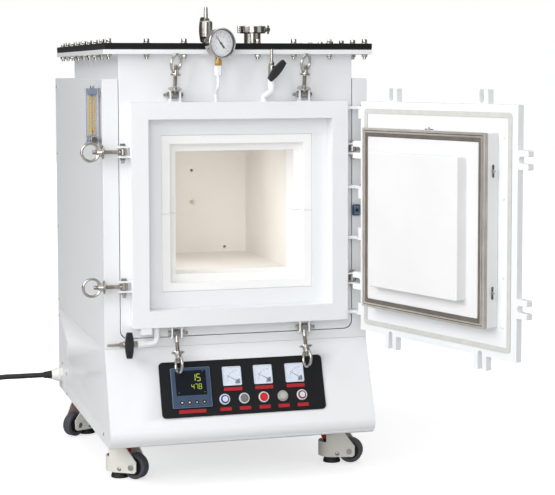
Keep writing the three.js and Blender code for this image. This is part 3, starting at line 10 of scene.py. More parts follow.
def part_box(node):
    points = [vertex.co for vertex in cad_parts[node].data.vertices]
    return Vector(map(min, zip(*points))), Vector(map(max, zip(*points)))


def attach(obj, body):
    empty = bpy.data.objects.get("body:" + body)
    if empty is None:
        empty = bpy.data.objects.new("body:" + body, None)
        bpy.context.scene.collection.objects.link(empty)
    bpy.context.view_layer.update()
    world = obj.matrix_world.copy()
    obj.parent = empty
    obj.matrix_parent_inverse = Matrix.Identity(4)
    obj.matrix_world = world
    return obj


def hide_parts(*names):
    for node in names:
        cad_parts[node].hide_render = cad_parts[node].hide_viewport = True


bl_info = {
    "name": "Atmosphere muffle furnace",
    "version": (1, 0, 0),
    "blender": (4, 5, 0),
    "location": "View3D > Sidebar > Furnace",
    "description": "Dresses the furnace's solids with its finished pieces and materials",
    "category": "Object",
}

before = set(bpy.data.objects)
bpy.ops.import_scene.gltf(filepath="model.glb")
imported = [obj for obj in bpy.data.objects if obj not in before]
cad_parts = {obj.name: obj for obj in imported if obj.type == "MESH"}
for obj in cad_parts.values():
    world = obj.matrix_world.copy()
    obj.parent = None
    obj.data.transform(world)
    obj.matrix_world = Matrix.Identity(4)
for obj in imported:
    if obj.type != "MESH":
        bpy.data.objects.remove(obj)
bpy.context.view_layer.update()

# Pieces are made in millimetres, from the middle of the door frame's front face on the floor
LOW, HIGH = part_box("lower_cabinet")
REAR = 790
METRES = 0.001
HOME = Matrix.Translation(((LOW.x + HIGH.x) / 2, HIGH.y - REAR * METRES, 0)) @ Matrix.Scale(METRES, 4)
PHOTO_WIDTH = 555

# Sizes that the pieces share with the solids, in millimetres
SLOPE_ANGLE = math.radians(20)
OPEN_ANGLE = math.radians(108)
HINGE = Vector((294, -24, 0))
DOOR_MIDDLE = 642
LID_TOP = 1054
FLANGE_LOW = 1028


def linear(red, green, blue):
    """A colour as a shader takes it, from its 0 to 255 screen values."""
    return tuple(((v / 255 + 0.055) / 1.055) ** 2.4 if v > 10 else v / 3294.6 for v in (red, green, blue))


def paint_property(name, description, colour):
    return FloatVectorProperty(
        name=name, description=description, subtype="COLOR", size=3, min=0, max=1, default=linear(*colour)
    )


def length_property(name, description, value):
    return FloatProperty(name=name, description=description, default=value, min=0, soft_max=10 * value)


class FurnaceSizes(bpy.types.PropertyGroup):
    """Sizes of the pieces, in millimetres."""

    sheet_edge: length_property("Sheet edge", "Rounding of the folded sheet's edges, mm", 1.6)
    plate_edge: length_property("Plate edge", "Rounding of the thick plates' edges, mm", 1.2)
    ceramic_edge: length_property("Ceramic edge", "Rounding of the fibre board's edges, mm", 2.5)
    thread_pitch: length_property("Thread pitch", "Pitch of the clamp bolts' thread, mm", 1.75)
    cable_radius: length_property("Cable radius", "Radius of the mains cable, mm", 7.0)
    round_steps: IntProperty(
        name="Round steps", description="Faces round a turned piece", default=40, min=12
    )


class FurnaceColours(bpy.types.PropertyGroup):
    """Colours of the finishes."""

    white: paint_property(
        "White paint", "Powder coat of the door, the frame and the housing", (238, 240, 242)
    )
    ceramic: paint_property("Ceramic", "Hard white fibre board of the collar and the plug", (251, 251, 250))
    board: paint_property("Chamber board", "Fibre board of the chamber", (240, 236, 230))
    steel: paint_property("Steel", "Turned and folded stainless steel", (176, 171, 165))
    black: paint_property("Black paint", "Paint of the lid and of the control panel", (24, 25, 26))
    slate: paint_property("Slate blue", "Case of the temperature controller", (52, 72, 98))
    red: paint_property("Label red", "Blank plates below the dials and the buttons", (176, 24, 36))


# Finishes. A noise pattern's values mostly stay between these two
PATTERN_LOW, PATTERN_HIGH = 0.3, 0.7
GRAIN_DEPTH = 0.0004
COAT_ROUGHNESS = 0.08


def new_material(name):
    material = bpy.data.materials.new(name)
    material.use_nodes = True
    nodes = material.node_tree.nodes
    return material, nodes, material.node_tree.links, nodes["Principled BSDF"]


def noise(nodes, links, coordinate, scale, detail=3.0, stretch=(1, 1, 1)):
    """A noise pattern in object space, scale counted per metre."""
    mapping = nodes.new("ShaderNodeMapping")
    mapping.inputs["Scale"].default_value = stretch
    pattern = nodes.new("ShaderNodeTexNoise")
    pattern.inputs["Scale"].default_value = scale
    pattern.inputs["Detail"].default_value = detail
    links.new(coordinate, mapping.inputs["Vector"])
    links.new(mapping.outputs["Vector"], pattern.inputs["Vector"])
    return pattern.outputs["Fac"]


def spread(nodes, links, value, low, high):
    """A pattern value, taken from its middle range to a range of its own."""
    span = nodes.new("ShaderNodeMapRange")
    span.inputs["From Min"].default_value = PATTERN_LOW
    span.inputs["From Max"].default_value = PATTERN_HIGH
    span.inputs["To Min"].default_value = low
    span.inputs["To Max"].default_value = high
    links.new(value, span.inputs["Value"])
    return span.outputs["Result"]


def tinted(nodes, links, value, colour, share):
    """The colour, darkened and lightened a little by a pattern."""
    mix = nodes.new("ShaderNodeMix")
    mix.data_type = "RGBA"
    dark = tuple(c * (1 - share) for c in colour)
    light = tuple(min(c * (1 + share), 1) for c in colour)
    sockets = {s.identifier: s for s in mix.inputs}
    sockets["A_Color"].default_value = (*dark, 1)
    sockets["B_Color"].default_value = (*light, 1)
    links.new(value, sockets["Factor_Float"])
    return {s.identifier: s for s in mix.outputs}["Result_Color"]


def bumped(nodes, links, height, shader, strength, distance):
    bump = nodes.new("ShaderNodeBump")
    bump.inputs["Strength"].default_value = strength
    bump.inputs["Distance"].default_value = distance
    links.new(height, bump.inputs["Height"])
    links.new(bump.outputs["Normal"], shader.inputs["Normal"])


def plain_finish(
    name,
    colour,
    roughness,
    metallic=0.0,
    mottle=(9, 0.02),
    grain=(1400, 0.08),
    rough_share=0.12,
    stretch=(1, 1, 1),
    coat=0.0,
    specular=0.5,
):
    """A finish with a faint mottle, uneven gloss and a fine grain that stands up."""
    material, nodes, links, shader = new_material(name)
    coordinate = nodes.new("ShaderNodeTexCoord").outputs["Object"]
    broad = spread(nodes, links, noise(nodes, links, coordinate, mottle[0], 4), 0, 1)
    links.new(tinted(nodes, links, broad, colour, mottle[1]), shader.inputs["Base Color"])
    fine = noise(nodes, links, coordinate, grain[0], 3, stretch)
    dull = spread(nodes, links, fine, roughness * (1 - rough_share), roughness * (1 + rough_share))
    links.new(dull, shader.inputs["Roughness"])
    bumped(nodes, links, fine, shader, grain[1], GRAIN_DEPTH)
    shader.inputs["Metallic"].default_value = metallic
    shader.inputs["Coat Weight"].default_value = coat
    shader.inputs["Coat Roughness"].default_value = COAT_ROUGHNESS
    shader.inputs["Specular IOR Level"].default_value = specular
    return material


def fibre_finish(name, colour, edge_colour, pits=0.35):
    """Ceramic fibre board: chalky, with soft stains, fine fibre grain and scattered small pits."""
    material, nodes, links, shader = new_material(name)
    coordinate = nodes.new("ShaderNodeTexCoord").outputs["Object"]
    broad = spread(nodes, links, noise(nodes, links, coordinate, 5, 5), 0, 1)
    stain = nodes.new("ShaderNodeMix")
    stain.data_type = "RGBA"
    sockets = {s.identifier: s for s in stain.inputs}
    sockets["A_Color"].default_value = (*colour, 1)
    sockets["B_Color"].default_value = (*edge_colour, 1)
    links.new(broad, sockets["Factor_Float"])
    links.new({s.identifier: s for s in stain.outputs}["Result_Color"], shader.inputs["Base Color"])
    fibres = noise(nodes, links, coordinate, 260, 6)
    cells = nodes.new("ShaderNodeTexVoronoi")
    cells.inputs["Scale"].default_value = 90
    links.new(coordinate, cells.inputs["Vector"])
    hole = nodes.new("ShaderNodeMapRange")
    hole.inputs["From Min"].default_value = 0.04
    hole.inputs["From Max"].default_value = 0.16
    hole.inputs["To Min"].default_value = -pits
    hole.inputs["To Max"].default_value = 0
    links.new(cells.outputs["Distance"], hole.inputs["Value"])
    height = nodes.new("ShaderNodeMath")
    height.operation = "ADD"
    links.new(fibres, height.inputs[0])
    links.new(hole.outputs["Result"], height.inputs[1])
    bumped(nodes, links, height.outputs["Value"], shader, 0.35, 0.0008)
    shader.inputs["Roughness"].default_value = 0.92
    shader.inputs["Specular IOR Level"].default_value = 0.2
    shader.inputs["Sheen Weight"].default_value = 0.1
    return material


def clear_finish(name, colour, alpha, roughness=0.05):
    """Clear moulded cover or glass, thin enough to let the light through."""
    material = plain_finish(
        name, colour, roughness, mottle=(30, 0.03), grain=(60, 0.02), rough_share=0.3, coat=0.5
    )
    material.node_tree.nodes["Principled BSDF"].inputs["Alpha"].default_value = alpha
    return material


def glow_finish(name, colour, strength):
    """Lit display segments, with a soft unevenness."""
    material, nodes, links, shader = new_material(name)
    coordinate = nodes.new("ShaderNodeTexCoord").outputs["Object"]
    broad = spread(nodes, links, noise(nodes, links, coordinate, 400, 2), 0, 1)
    shade = tinted(nodes, links, broad, colour, 0.06)
    links.new(shade, shader.inputs["Base Color"])
    links.new(shade, shader.inputs["Emission Color"])
    shader.inputs["Emission Strength"].default_value = strength
    shader.inputs["Roughness"].default_value = 0.4
    return material


FINISHES = {}


def make_finishes(c):
    """Every finish of the furnace, by a plain name."""
    white = tuple(c.white)
    steel = tuple(c.steel)
    FINISHES.update(
        white_paint=plain_finish(
            "white_powder_coat", white, 0.33, mottle=(3, 0.012), grain=(1300, 0.05), coat=0.15
        ),
        black_paint=plain_finish(
            "black_satin_paint",
            tuple(c.black),
            0.34,
            mottle=(12, 0.15),
            grain=(1200, 0.06),
            coat=0.05,
            specular=0.25,
        ),
        panel_black=plain_finish(
            "black_panel_sheet",
            linear(30, 31, 33),
            0.42,
            mottle=(20, 0.1),
            grain=(1800, 0.05),
            specular=0.15,
        ),
        stainless=plain_finish(
            "turned_stainless", steel, 0.24, 1.0, mottle=(40, 0.06), grain=(2200, 0.08), stretch=(1, 1, 3)
        ),
        bright_steel=plain_finish(
            "bright_nickel", linear(194, 190, 184), 0.16, 1.0, mottle=(60, 0.05), grain=(2600, 0.05)
        ),
        folded_steel=plain_finish(
            "folded_stainless",
            linear(206, 200, 192),
            0.34,
            0.75,
            mottle=(25, 0.12),
            grain=(900, 0.12),
            stretch=(1, 1, 12),
        ),
        heat_seal=plain_finish(
            "dark_heat_seal", linear(104, 97, 90), 0.6, mottle=(40, 0.2), grain=(900, 0.15)
        ),
        zinc=plain_finish(
            "zinc_plated_steel", linear(178, 178, 176), 0.34, 1.0, mottle=(80, 0.1), grain=(1500, 0.1)
        ),
        brass=plain_finish("brass", linear(188, 152, 92), 0.3, 1.0, mottle=(80, 0.08), grain=(1500, 0.08)),
        element=plain_finish(
            "oxidised_alloy", linear(92, 88, 84), 0.6, 0.7, mottle=(40, 0.2), grain=(700, 0.2)
        ),
        hard_board=fibre_finish(
            "hard_fibre_board", tuple(c.ceramic), tuple(v * 0.96 for v in c.ceramic), 0.2
        ),
        door_board=fibre_finish("door_fibre_board", linear(234, 234, 235), linear(228, 228, 229), 0.2),
        chamber_board=fibre_finish(
            "chamber_fibre_board", tuple(c.board), tuple(v * 0.93 for v in c.board), 0.5
        ),
        sheath=fibre_finish("alumina_sheath", linear(236, 226, 208), linear(222, 208, 188), 0.1),
        rubber=plain_finish("black_rubber", linear(30, 30, 32), 0.62, mottle=(30, 0.15), grain=(900, 0.15)),
        cable=plain_finish("cable_jacket", linear(28, 28, 30), 0.45, mottle=(25, 0.2), grain=(1200, 0.1)),
        seal=plain_finish(
            "silicone_seal", linear(206, 206, 202), 0.55, mottle=(40, 0.05), grain=(900, 0.1)
        ),
        grip=plain_finish(
            "black_moulded_grip", linear(30, 32, 35), 0.36, mottle=(60, 0.12), grain=(1500, 0.12)
        ),
        slate=plain_finish(
            "slate_moulded_case", tuple(c.slate), 0.42, mottle=(60, 0.06), grain=(2200, 0.1)
        ),
        slate_edge=plain_finish(
            "slate_case_edge", linear(92, 118, 148), 0.38, mottle=(60, 0.05), grain=(2200, 0.1)
        ),
        display=plain_finish(
            "dark_display",
            linear(17, 20, 32),
            0.3,
            mottle=(30, 0.15),
            grain=(300, 0.02),
            coat=0.1,
            specular=0.2,
        ),
        digit_green=glow_finish("lit_digits", linear(176, 196, 50), 0.5),
        key_dark=plain_finish(
            "dark_rubber_key", linear(24, 30, 38), 0.5, mottle=(90, 0.1), grain=(1600, 0.1)
        ),
        ink_white=plain_finish(
            "white_ink", linear(232, 234, 236), 0.5, mottle=(90, 0.03), grain=(1500, 0.05)
        ),
        ink_black=plain_finish("black_ink", linear(24, 24, 26), 0.5, mottle=(90, 0.1), grain=(1500, 0.05)),
        ink_red=plain_finish("red_ink", linear(222, 132, 144), 0.5, mottle=(90, 0.05), grain=(1500, 0.05)),
        meter_case=plain_finish(
            "meter_case", linear(214, 222, 234), 0.25, mottle=(50, 0.03), grain=(1500, 0.04), coat=0.5
        ),
        meter_face=plain_finish(
            "meter_face", linear(226, 234, 248), 0.5, mottle=(50, 0.02), grain=(1500, 0.04)
        ),
        hub_grey=clear_finish("smoked_hub", linear(120, 128, 140), 0.62, 0.2),
        clear=clear_finish("clear_cover", linear(235, 240, 246), 0.06),
        acrylic=clear_finish("clear_acrylic", linear(206, 216, 224), 0.14, 0.08),
        flow_case=plain_finish(
            "flow_meter_case", linear(176, 178, 196), 0.2, mottle=(30, 0.06), grain=(200, 0.02), coat=0.6
        ),
        slate_acrylic=plain_finish(
            "slate_acrylic", linear(124, 134, 158), 0.14, mottle=(30, 0.1), grain=(200, 0.02), coat=0.6
        ),
        label_red=plain_finish(
            "red_label_plate", tuple(c.red), 0.28, mottle=(60, 0.08), grain=(1500, 0.05), coat=0.3
        ),
        bezel_white=plain_finish(
            "white_button_bezel",
            linear(232, 234, 236),
            0.26,
            mottle=(60, 0.03),
            grain=(1500, 0.04),
            coat=0.4,
        ),
        lens_blue=plain_finish(
            "blue_button_lens", linear(34, 84, 186), 0.22, mottle=(60, 0.08), grain=(1500, 0.04), coat=0.5
        ),
        lens_light=plain_finish(
            "light_button_lens",
            linear(214, 220, 226),
            0.22,
            mottle=(60, 0.03),
            grain=(1500, 0.04),
            coat=0.5,
        ),
        lens_grey=plain_finish(
            "grey_button_cap", linear(122, 122, 124), 0.3, mottle=(60, 0.06), grain=(1500, 0.05), coat=0.3
        ),
        lens_red=plain_finish(
            "red_button_cap", linear(208, 30, 36), 0.24, mottle=(60, 0.06), grain=(1500, 0.05), coat=0.5
        ),
        lens_pale=plain_finish(
            "pale_button_cap", linear(186, 184, 180), 0.3, mottle=(60, 0.04), grain=(1500, 0.05), coat=0.3
        ),
        lens_wine=plain_finish(
            "dark_red_button_ring",
            linear(146, 34, 40),
            0.24,
            mottle=(60, 0.06),
            grain=(1500, 0.05),
            coat=0.5,
        ),
        dial=plain_finish("gauge_dial", linear(248, 251, 255), 0.45, mottle=(50, 0.02), grain=(1500, 0.04)),
        scale_yellow=plain_finish(
            "yellow_scale", linear(226, 184, 16), 0.4, mottle=(90, 0.05), grain=(1500, 0.05)
        ),
        switch_blue=plain_finish(
            "blue_switch_case", linear(46, 58, 82), 0.4, mottle=(60, 0.08), grain=(1500, 0.1)
        ),
        caster_cream=plain_finish(
            "caster_bracket_paint",
            linear(226, 224, 216),
            0.34,
            mottle=(20, 0.03),
            grain=(1200, 0.1),
            coat=0.2,
        ),
        ring_red=plain_finish(
            "red_adjuster_ring", linear(186, 34, 36), 0.36, mottle=(60, 0.08), grain=(1500, 0.1)
        ),
        wheel_grey=plain_finish(
            "wheel_nylon", linear(70, 72, 78), 0.5, mottle=(60, 0.08), grain=(1300, 0.12)
        ),
        foot_black=plain_finish(
            "black_foot_pad", linear(26, 26, 28), 0.6, mottle=(60, 0.12), grain=(900, 0.15)
        ),
        nylon_white=plain_finish(
            "white_nylon", linear(232, 232, 230), 0.4, mottle=(60, 0.03), grain=(1500, 0.08)
        ),
        plug_blue=plain_finish(
            "plug_body_blue", linear(52, 78, 122), 0.42, mottle=(60, 0.08), grain=(1500, 0.12)
        ),
        # Flat black that stands in for shade, not a material of the furnace: painted shade in gaps, grooves
        # and the gauge's rim
        dark=plain_finish("dark_inside", linear(18, 18, 18), 0.8, mottle=(60, 0.1), grain=(900, 0.1)),
    )

# Forms. Each is a list of points and a list of faces, in millimetres


def block(x, y, z):
    """A box between two values on each axis."""
    points = [(x[i], y[j], z[k]) for i in (0, 1) for j in (0, 1) for k in (0, 1)]
    faces = [(0, 1, 3, 2), (4, 6, 7, 5), (0, 4, 5, 1), (2, 3, 7, 6), (0, 2, 6, 4), (1, 5, 7, 3)]
    return points, faces


def plate(outline, low, high, holes=()):
    """A flat outline, raised from one height to another, with holes through it."""
    loops = [list(outline), *[list(hole) for hole in holes]]
    flat = [p for loop in loops for p in loop]
    count = len(flat)
    points = [(x, y, low) for x, y in flat] + [(x, y, high) for x, y in flat]
    faces = []
    start = 0
    for loop in loops:
        for i in range(len(loop)):
            a, b = start + i, start + (i + 1) % len(loop)
            faces.append((a, b, b + count, a + count))
        start += len(loop)
    if holes:
        for a, b, c in tessellate_polygon([[Vector((x, y, 0)) for x, y in loop] for loop in loops]):
            faces += [(a, b, c), (a + count, c + count, b + count)]
    else:
        faces += [tuple(range(count - 1, -1, -1)), tuple(range(count, 2 * count))]
    return points, faces


def corner_arc(x, y, radius, start, end, steps=8):
    """Points round part of a circle, angles in degrees."""
    angles = [math.radians(start + (end - start) * i / steps) for i in range(steps + 1)]
    return [(x + radius * math.cos(a), y + radius * math.sin(a)) for a in angles]


def rectangle(x0, y0, x1, y1, corner=0.0, steps=8):
    """A rectangle's outline, its corners rounded."""
    if not corner:
        return [(x0, y0), (x1, y0), (x1, y1), (x0, y1)]
    c = corner
    return (
        corner_arc(x1 - c, y0 + c, c, -90, 0, steps)
        + corner_arc(x1 - c, y1 - c, c, 0, 90, steps)
        + corner_arc(x0 + c, y1 - c, c, 90, 180, steps)
        + corner_arc(x0 + c, y0 + c, c, 180, 270, steps)
    )


def circle(x, y, radius, steps=32):
    return corner_arc(x, y, radius, 0, 360, steps)[:-1]


def turned(profile, steps=None):
    """A profile of radius and height points, turned about the Z axis. It starts and ends on the axis,
    or ends where it starts."""
    steps = steps or SIZES().round_steps
    points, rows = [], []
    closed = profile[0] == profile[-1]
    for radius, height in profile[:-1] if closed else profile:
        if radius == 0:
            points.append((0, 0, height))
            rows.append([len(points) - 1] * steps)
            continue
        rows.append(list(range(len(points), len(points) + steps)))
        for i in range(steps):
            a = 2 * math.pi * i / steps
            points.append((radius * math.cos(a), radius * math.sin(a), height))
    if closed:
        rows.append(rows[0])
    faces = []
    for below, above in zip(rows, rows[1:]):
        for i in range(steps):
            j = (i + 1) % steps
            ring = [below[i], below[j], above[j], above[i]]
            face = [v for k, v in enumerate(ring) if v not in ring[:k]]
            if len(face) > 2:
                faces.append(tuple(face))
    return points, faces


def aimed(start, way, side=None):
    """The place whose Z axis points along way, and X axis as near as can be to side."""
    z = Vector(way).normalized()
    x = Vector(side) if side else Vector((1, 0, 0))
    if abs(x.normalized().dot(z)) > 0.99:
        x = Vector((0, 1, 0))
    y = z.cross(x).normalized()
    x = y.cross(z)
    return Matrix.Translation(Vector(start)) @ Matrix((x, y, z)).transposed().to_4x4()


def moved(part, place):
    points, faces = part
    return [tuple(place @ Vector(p)) for p in points], faces


def rod(start, end, radius, end_radius=None, steps=None):
    """A round bar or cone between two points."""
    way = Vector(end) - Vector(start)
    last = radius if end_radius is None else end_radius
    return moved(
        turned([(0, 0), (radius, 0), (last, way.length), (0, way.length)], steps), aimed(start, way)
    )


def tube(start, end, radius, bore, steps=None):
    """A round bar with a bore right through."""
    way = Vector(end) - Vector(start)
    profile = [(bore, 0), (radius, 0), (radius, way.length), (bore, way.length), (bore, 0)]
    return moved(turned(profile, steps), aimed(start, way))


def hexagon(radius, low, high, bore=0.0):
    """A hexagonal nut or head, with a round bore through it when bore is given."""
    outline = corner_arc(0, 0, radius, 0, 360, 6)[:-1]
    return plate(outline, low, high, [circle(0, 0, bore, 24)] if bore else ())


def hoop(radius, wire, steps=48, sides=14):
    """A ring of round wire in the XY plane."""
    points, faces = [], []
    for i in range(steps):
        a = 2 * math.pi * i / steps
        for k in range(sides):
            b = 2 * math.pi * k / sides
            reach = radius + wire * math.cos(b)
            points.append((reach * math.cos(a), reach * math.sin(a), wire * math.sin(b)))
    for i in range(steps):
        for k in range(sides):
            n, m = (i + 1) % steps, (k + 1) % sides
            faces.append((i * sides + k, n * sides + k, n * sides + m, i * sides + m))
    return points, faces


def threaded(start, end, radius, pitch, steps=28):
    """A bar with the ridges of a thread along it."""
    way = Vector(end) - Vector(start)
    depth = pitch * 0.45
    profile = [(0, 0), (radius - depth, 0)]
    for i in range(int(way.length / pitch)):
        profile += [(radius, (i + 0.5) * pitch), (radius - depth, (i + 1) * pitch)]
    return moved(
        turned([*profile, (radius - depth, way.length), (0, way.length)], steps), aimed(start, way)
    )


def smooth_path(points, parts=8):
    """A Catmull-Rom path through the points."""
    line = [Vector(p) for p in points]
    ends = [line[0] * 2 - line[1], *line, line[-1] * 2 - line[-2]]
    path = []
    for i in range(len(line) - 1):
        a, b, c, d = ends[i : i + 4]
        for k in range(parts):
            t = k / parts
            path.append(
                (
                    2 * b
                    + (c - a) * t
                    + (2 * a - 5 * b + 4 * c - d) * t * t
                    + (3 * b - a - 3 * c + d) * t**3
                ) / 2
            )
    return [*path, line[-1]]


def bent(path, radius, sides=24):
    """A round bar along a path of close points."""
    line = [Vector(p) for p in path]
    points, faces = [], []
    side = (line[1] - line[0]).orthogonal().normalized()
    for i, point in enumerate(line):
        way = (line[min(i + 1, len(line) - 1)] - line[max(i - 1, 0)]).normalized()
        side = (side - way * side.dot(way)).normalized()
        across = way.cross(side)
        for k in range(sides):
            a = 2 * math.pi * k / sides
            points.append(tuple(point + (side * math.cos(a) + across * math.sin(a)) * radius))
    for i in range(len(line) - 1):
        for k in range(sides):
            m = (k + 1) % sides
            faces.append((i * sides + k, i * sides + m, (i + 1) * sides + m, (i + 1) * sides + k))
    last = (len(line) - 1) * sides
    faces += [tuple(range(sides - 1, -1, -1)), tuple(range(last, last + sides))]
    return points, faces


def SIZES():
    return bpy.context.scene.furnace_sizes


class Work:
    """One piece in the making, in millimetres from the middle of the door frame's front."""

    def __init__(self):
        self.mesh = bmesh.new()
        self.finishes = []

    def number(self, finish):
        if finish not in self.finishes:
            self.finishes.append(finish)
        return self.finishes.index(finish)

    def add(self, part, finish, place=None, edge=0.0, steps=2, sharp=28):
        """Adds a form with its own finish, its sharp edges rounded by edge."""
        small = bmesh.new()
        points = [small.verts.new(p) for p in part[0]]
        for face in part[1]:
            small.faces.new([points[i] for i in face])
        bmesh.ops.remove_doubles(small, verts=small.verts, dist=1e-4)
        bmesh.ops.recalc_face_normals(small, faces=small.faces)
        self.take(small, finish, place, edge, steps, sharp)

    def take(self, small, finish, place=None, edge=0.0, steps=2, sharp=28, clamp=True):
        if edge:
            found = [
                e for e in small.edges
                if len(e.link_faces) == 2 and e.calc_face_angle(0) > math.radians(sharp)
            ]
            bmesh.ops.bevel(
                small, geom=found, offset=edge, offset_type="OFFSET", segments=steps, profile=0.5,
                affect="EDGES", clamp_overlap=clamp,
            )
        if place is not None:
            small.transform(place)
        number = self.number(finish)
        for face in small.faces:
            face.material_index = number
            face.smooth = True
        shell = bpy.data.meshes.new("shell")
        small.to_mesh(shell)
        small.free()
        self.mesh.from_mesh(shell)
        bpy.data.meshes.remove(shell)

    def solid(self, node, finish, edge=0.0, steps=2, sharp=35, clamp=True):
        """Adds a copy of a CAD solid, its faces merged and its edges rounded."""
        small = bmesh.new()
        small.from_mesh(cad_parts[node].data)
        small.transform(HOME.inverted())
        bmesh.ops.remove_doubles(small, verts=small.verts, dist=1e-3)
        bmesh.ops.dissolve_limit(
            small, angle_limit=math.radians(0.5), verts=small.verts, edges=small.edges, delimit=set()
        )
        self.take(small, finish, None, edge, steps, sharp, clamp)

    def done(self, name, body, replaced=(), sharp=50):
        """Makes the piece, lets it ride on its body and hides the solids that it stands for."""
        self.mesh.transform(HOME)
        shape = bpy.data.meshes.new(name)
        self.mesh.to_mesh(shape)
        self.mesh.free()
        for finish in self.finishes:
            shape.materials.append(FINISHES[finish])
        shape.set_sharp_from_angle(angle=math.radians(sharp))
        piece = bpy.data.objects.new(name, shape)
        bpy.context.scene.collection.objects.link(piece)
        weighted = piece.modifiers.new("Flat faces", "WEIGHTED_NORMAL")
        weighted.keep_sharp = True
        weighted.weight = 80
        return carried(settled(piece), body, replaced)


def settled(piece):
    """The piece with its modifiers worked into its mesh."""
    bpy.context.view_layer.update()
    graph = bpy.context.evaluated_depsgraph_get()
    made = bpy.data.meshes.new_from_object(piece.evaluated_get(graph))
    made.name = piece.name
    piece.modifiers.clear()
    old = piece.data
    piece.data = made
    if old.users == 0:
        bpy.data.meshes.remove(old)
    return piece


def carried(piece, body, replaced=()):
    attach(piece, body)
    if replaced:
        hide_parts(*replaced)
    return piece


# Node trees for what repeats and for what follows a path


def tree_with(name, inputs):
    tree = bpy.data.node_groups.new(name, "GeometryNodeTree")
    for label, kind in inputs:
        tree.interface.new_socket(label, in_out="INPUT", socket_type=kind)
    tree.interface.new_socket("Pieces", in_out="OUTPUT", socket_type="NodeSocketGeometry")
    return tree, tree.nodes, tree.links, tree.nodes.new("NodeGroupInput"), tree.nodes.new("NodeGroupOutput")


def copies_tree():
    """Sets one small part on every point, turned by the point's own turn and rolled at random."""
    tree, nodes, links, given, out = tree_with(
        "Copies on points",
        [
            ("Points", "NodeSocketGeometry"),
            ("Part", "NodeSocketObject"),
            ("Size", "NodeSocketFloat"),
            ("Roll", "NodeSocketFloat"),
            ("Seed", "NodeSocketInt"),
            ("Finish", "NodeSocketMaterial"),
        ],
    )
    part = nodes.new("GeometryNodeObjectInfo")
    turn = nodes.new("GeometryNodeInputNamedAttribute")
    turn.data_type = "FLOAT_VECTOR"
    turn.inputs["Name"].default_value = "turn"
    facing = nodes.new("FunctionNodeEulerToRotation")
    chance = nodes.new("FunctionNodeRandomValue")
    chance.data_type = "FLOAT"
    random_sockets = [s for s in chance.inputs if s.enabled]
    spin = nodes.new("ShaderNodeCombineXYZ")
    rolled = nodes.new("FunctionNodeEulerToRotation")
    rotate = nodes.new("FunctionNodeRotateRotation")
    rotate.rotation_space = "LOCAL"
    place = nodes.new("GeometryNodeInstanceOnPoints")
    real = nodes.new("GeometryNodeRealizeInstances")
    paint = nodes.new("GeometryNodeSetMaterial")
    links.new(given.outputs["Part"], part.inputs["Object"])
    links.new(turn.outputs["Attribute"], facing.inputs["Euler"])
    low = next(s for s in random_sockets if s.name == "Min")
    high = next(s for s in random_sockets if s.name == "Max")
    low.default_value = 0
    links.new(given.outputs["Roll"], high)
    links.new(given.outputs["Seed"], chance.inputs["Seed"])
    value = next(s for s in chance.outputs if s.enabled)
    links.new(value, spin.inputs["Z"])
    links.new(spin.outputs["Vector"], rolled.inputs["Euler"])
    links.new(facing.outputs["Rotation"], rotate.inputs["Rotation"])
    links.new(rolled.outputs["Rotation"], rotate.inputs["Rotate By"])
    links.new(given.outputs["Points"], place.inputs["Points"])
    links.new(part.outputs["Geometry"], place.inputs["Instance"])
    links.new(rotate.outputs["Rotation"], place.inputs["Rotation"])
    links.new(given.outputs["Size"], place.inputs["Scale"])
    links.new(place.outputs["Instances"], real.inputs["Geometry"])
    links.new(real.outputs["Geometry"], paint.inputs["Geometry"])
    links.new(given.outputs["Finish"], paint.inputs["Material"])
    links.new(paint.outputs["Geometry"], out.inputs["Pieces"])
    return tree


def path_tree():
    """Draws a round section along a curve, with closed ends."""
    tree, nodes, links, given, out = tree_with(
        "Round section on a path",
        [
            ("Path", "NodeSocketGeometry"),
            ("Radius", "NodeSocketFloat"),
            ("Sides", "NodeSocketInt"),
            ("Finish", "NodeSocketMaterial"),
        ],
    )
    section = nodes.new("GeometryNodeCurvePrimitiveCircle")
    sweep = nodes.new("GeometryNodeCurveToMesh")
    sweep.inputs["Fill Caps"].default_value = True
    smooth = nodes.new("GeometryNodeSetShadeSmooth")
    real = nodes.new("GeometryNodeRealizeInstances")
    paint = nodes.new("GeometryNodeSetMaterial")
    links.new(given.outputs["Path"], sweep.inputs["Curve"])
    links.new(given.outputs["Radius"], section.inputs["Radius"])
    links.new(given.outputs["Sides"], section.inputs["Resolution"])
    links.new(section.outputs["Curve"], sweep.inputs["Profile Curve"])
    links.new(sweep.outputs["Mesh"], smooth.inputs["Geometry"])
    links.new(smooth.outputs["Geometry"], real.inputs["Geometry"])
    links.new(real.outputs["Geometry"], paint.inputs["Geometry"])
    links.new(given.outputs["Finish"], paint.inputs["Material"])
    links.new(paint.outputs["Geometry"], out.inputs["Pieces"])
    return tree


def set_inputs(modifier, **values):
    """Sets a tree's inputs by their names' identifiers."""
    for item in modifier.node_group.interface.items_tree:
        if item.item_type == "SOCKET" and item.in_out == "INPUT" and item.name in values:
            modifier[item.identifier] = values[item.name]


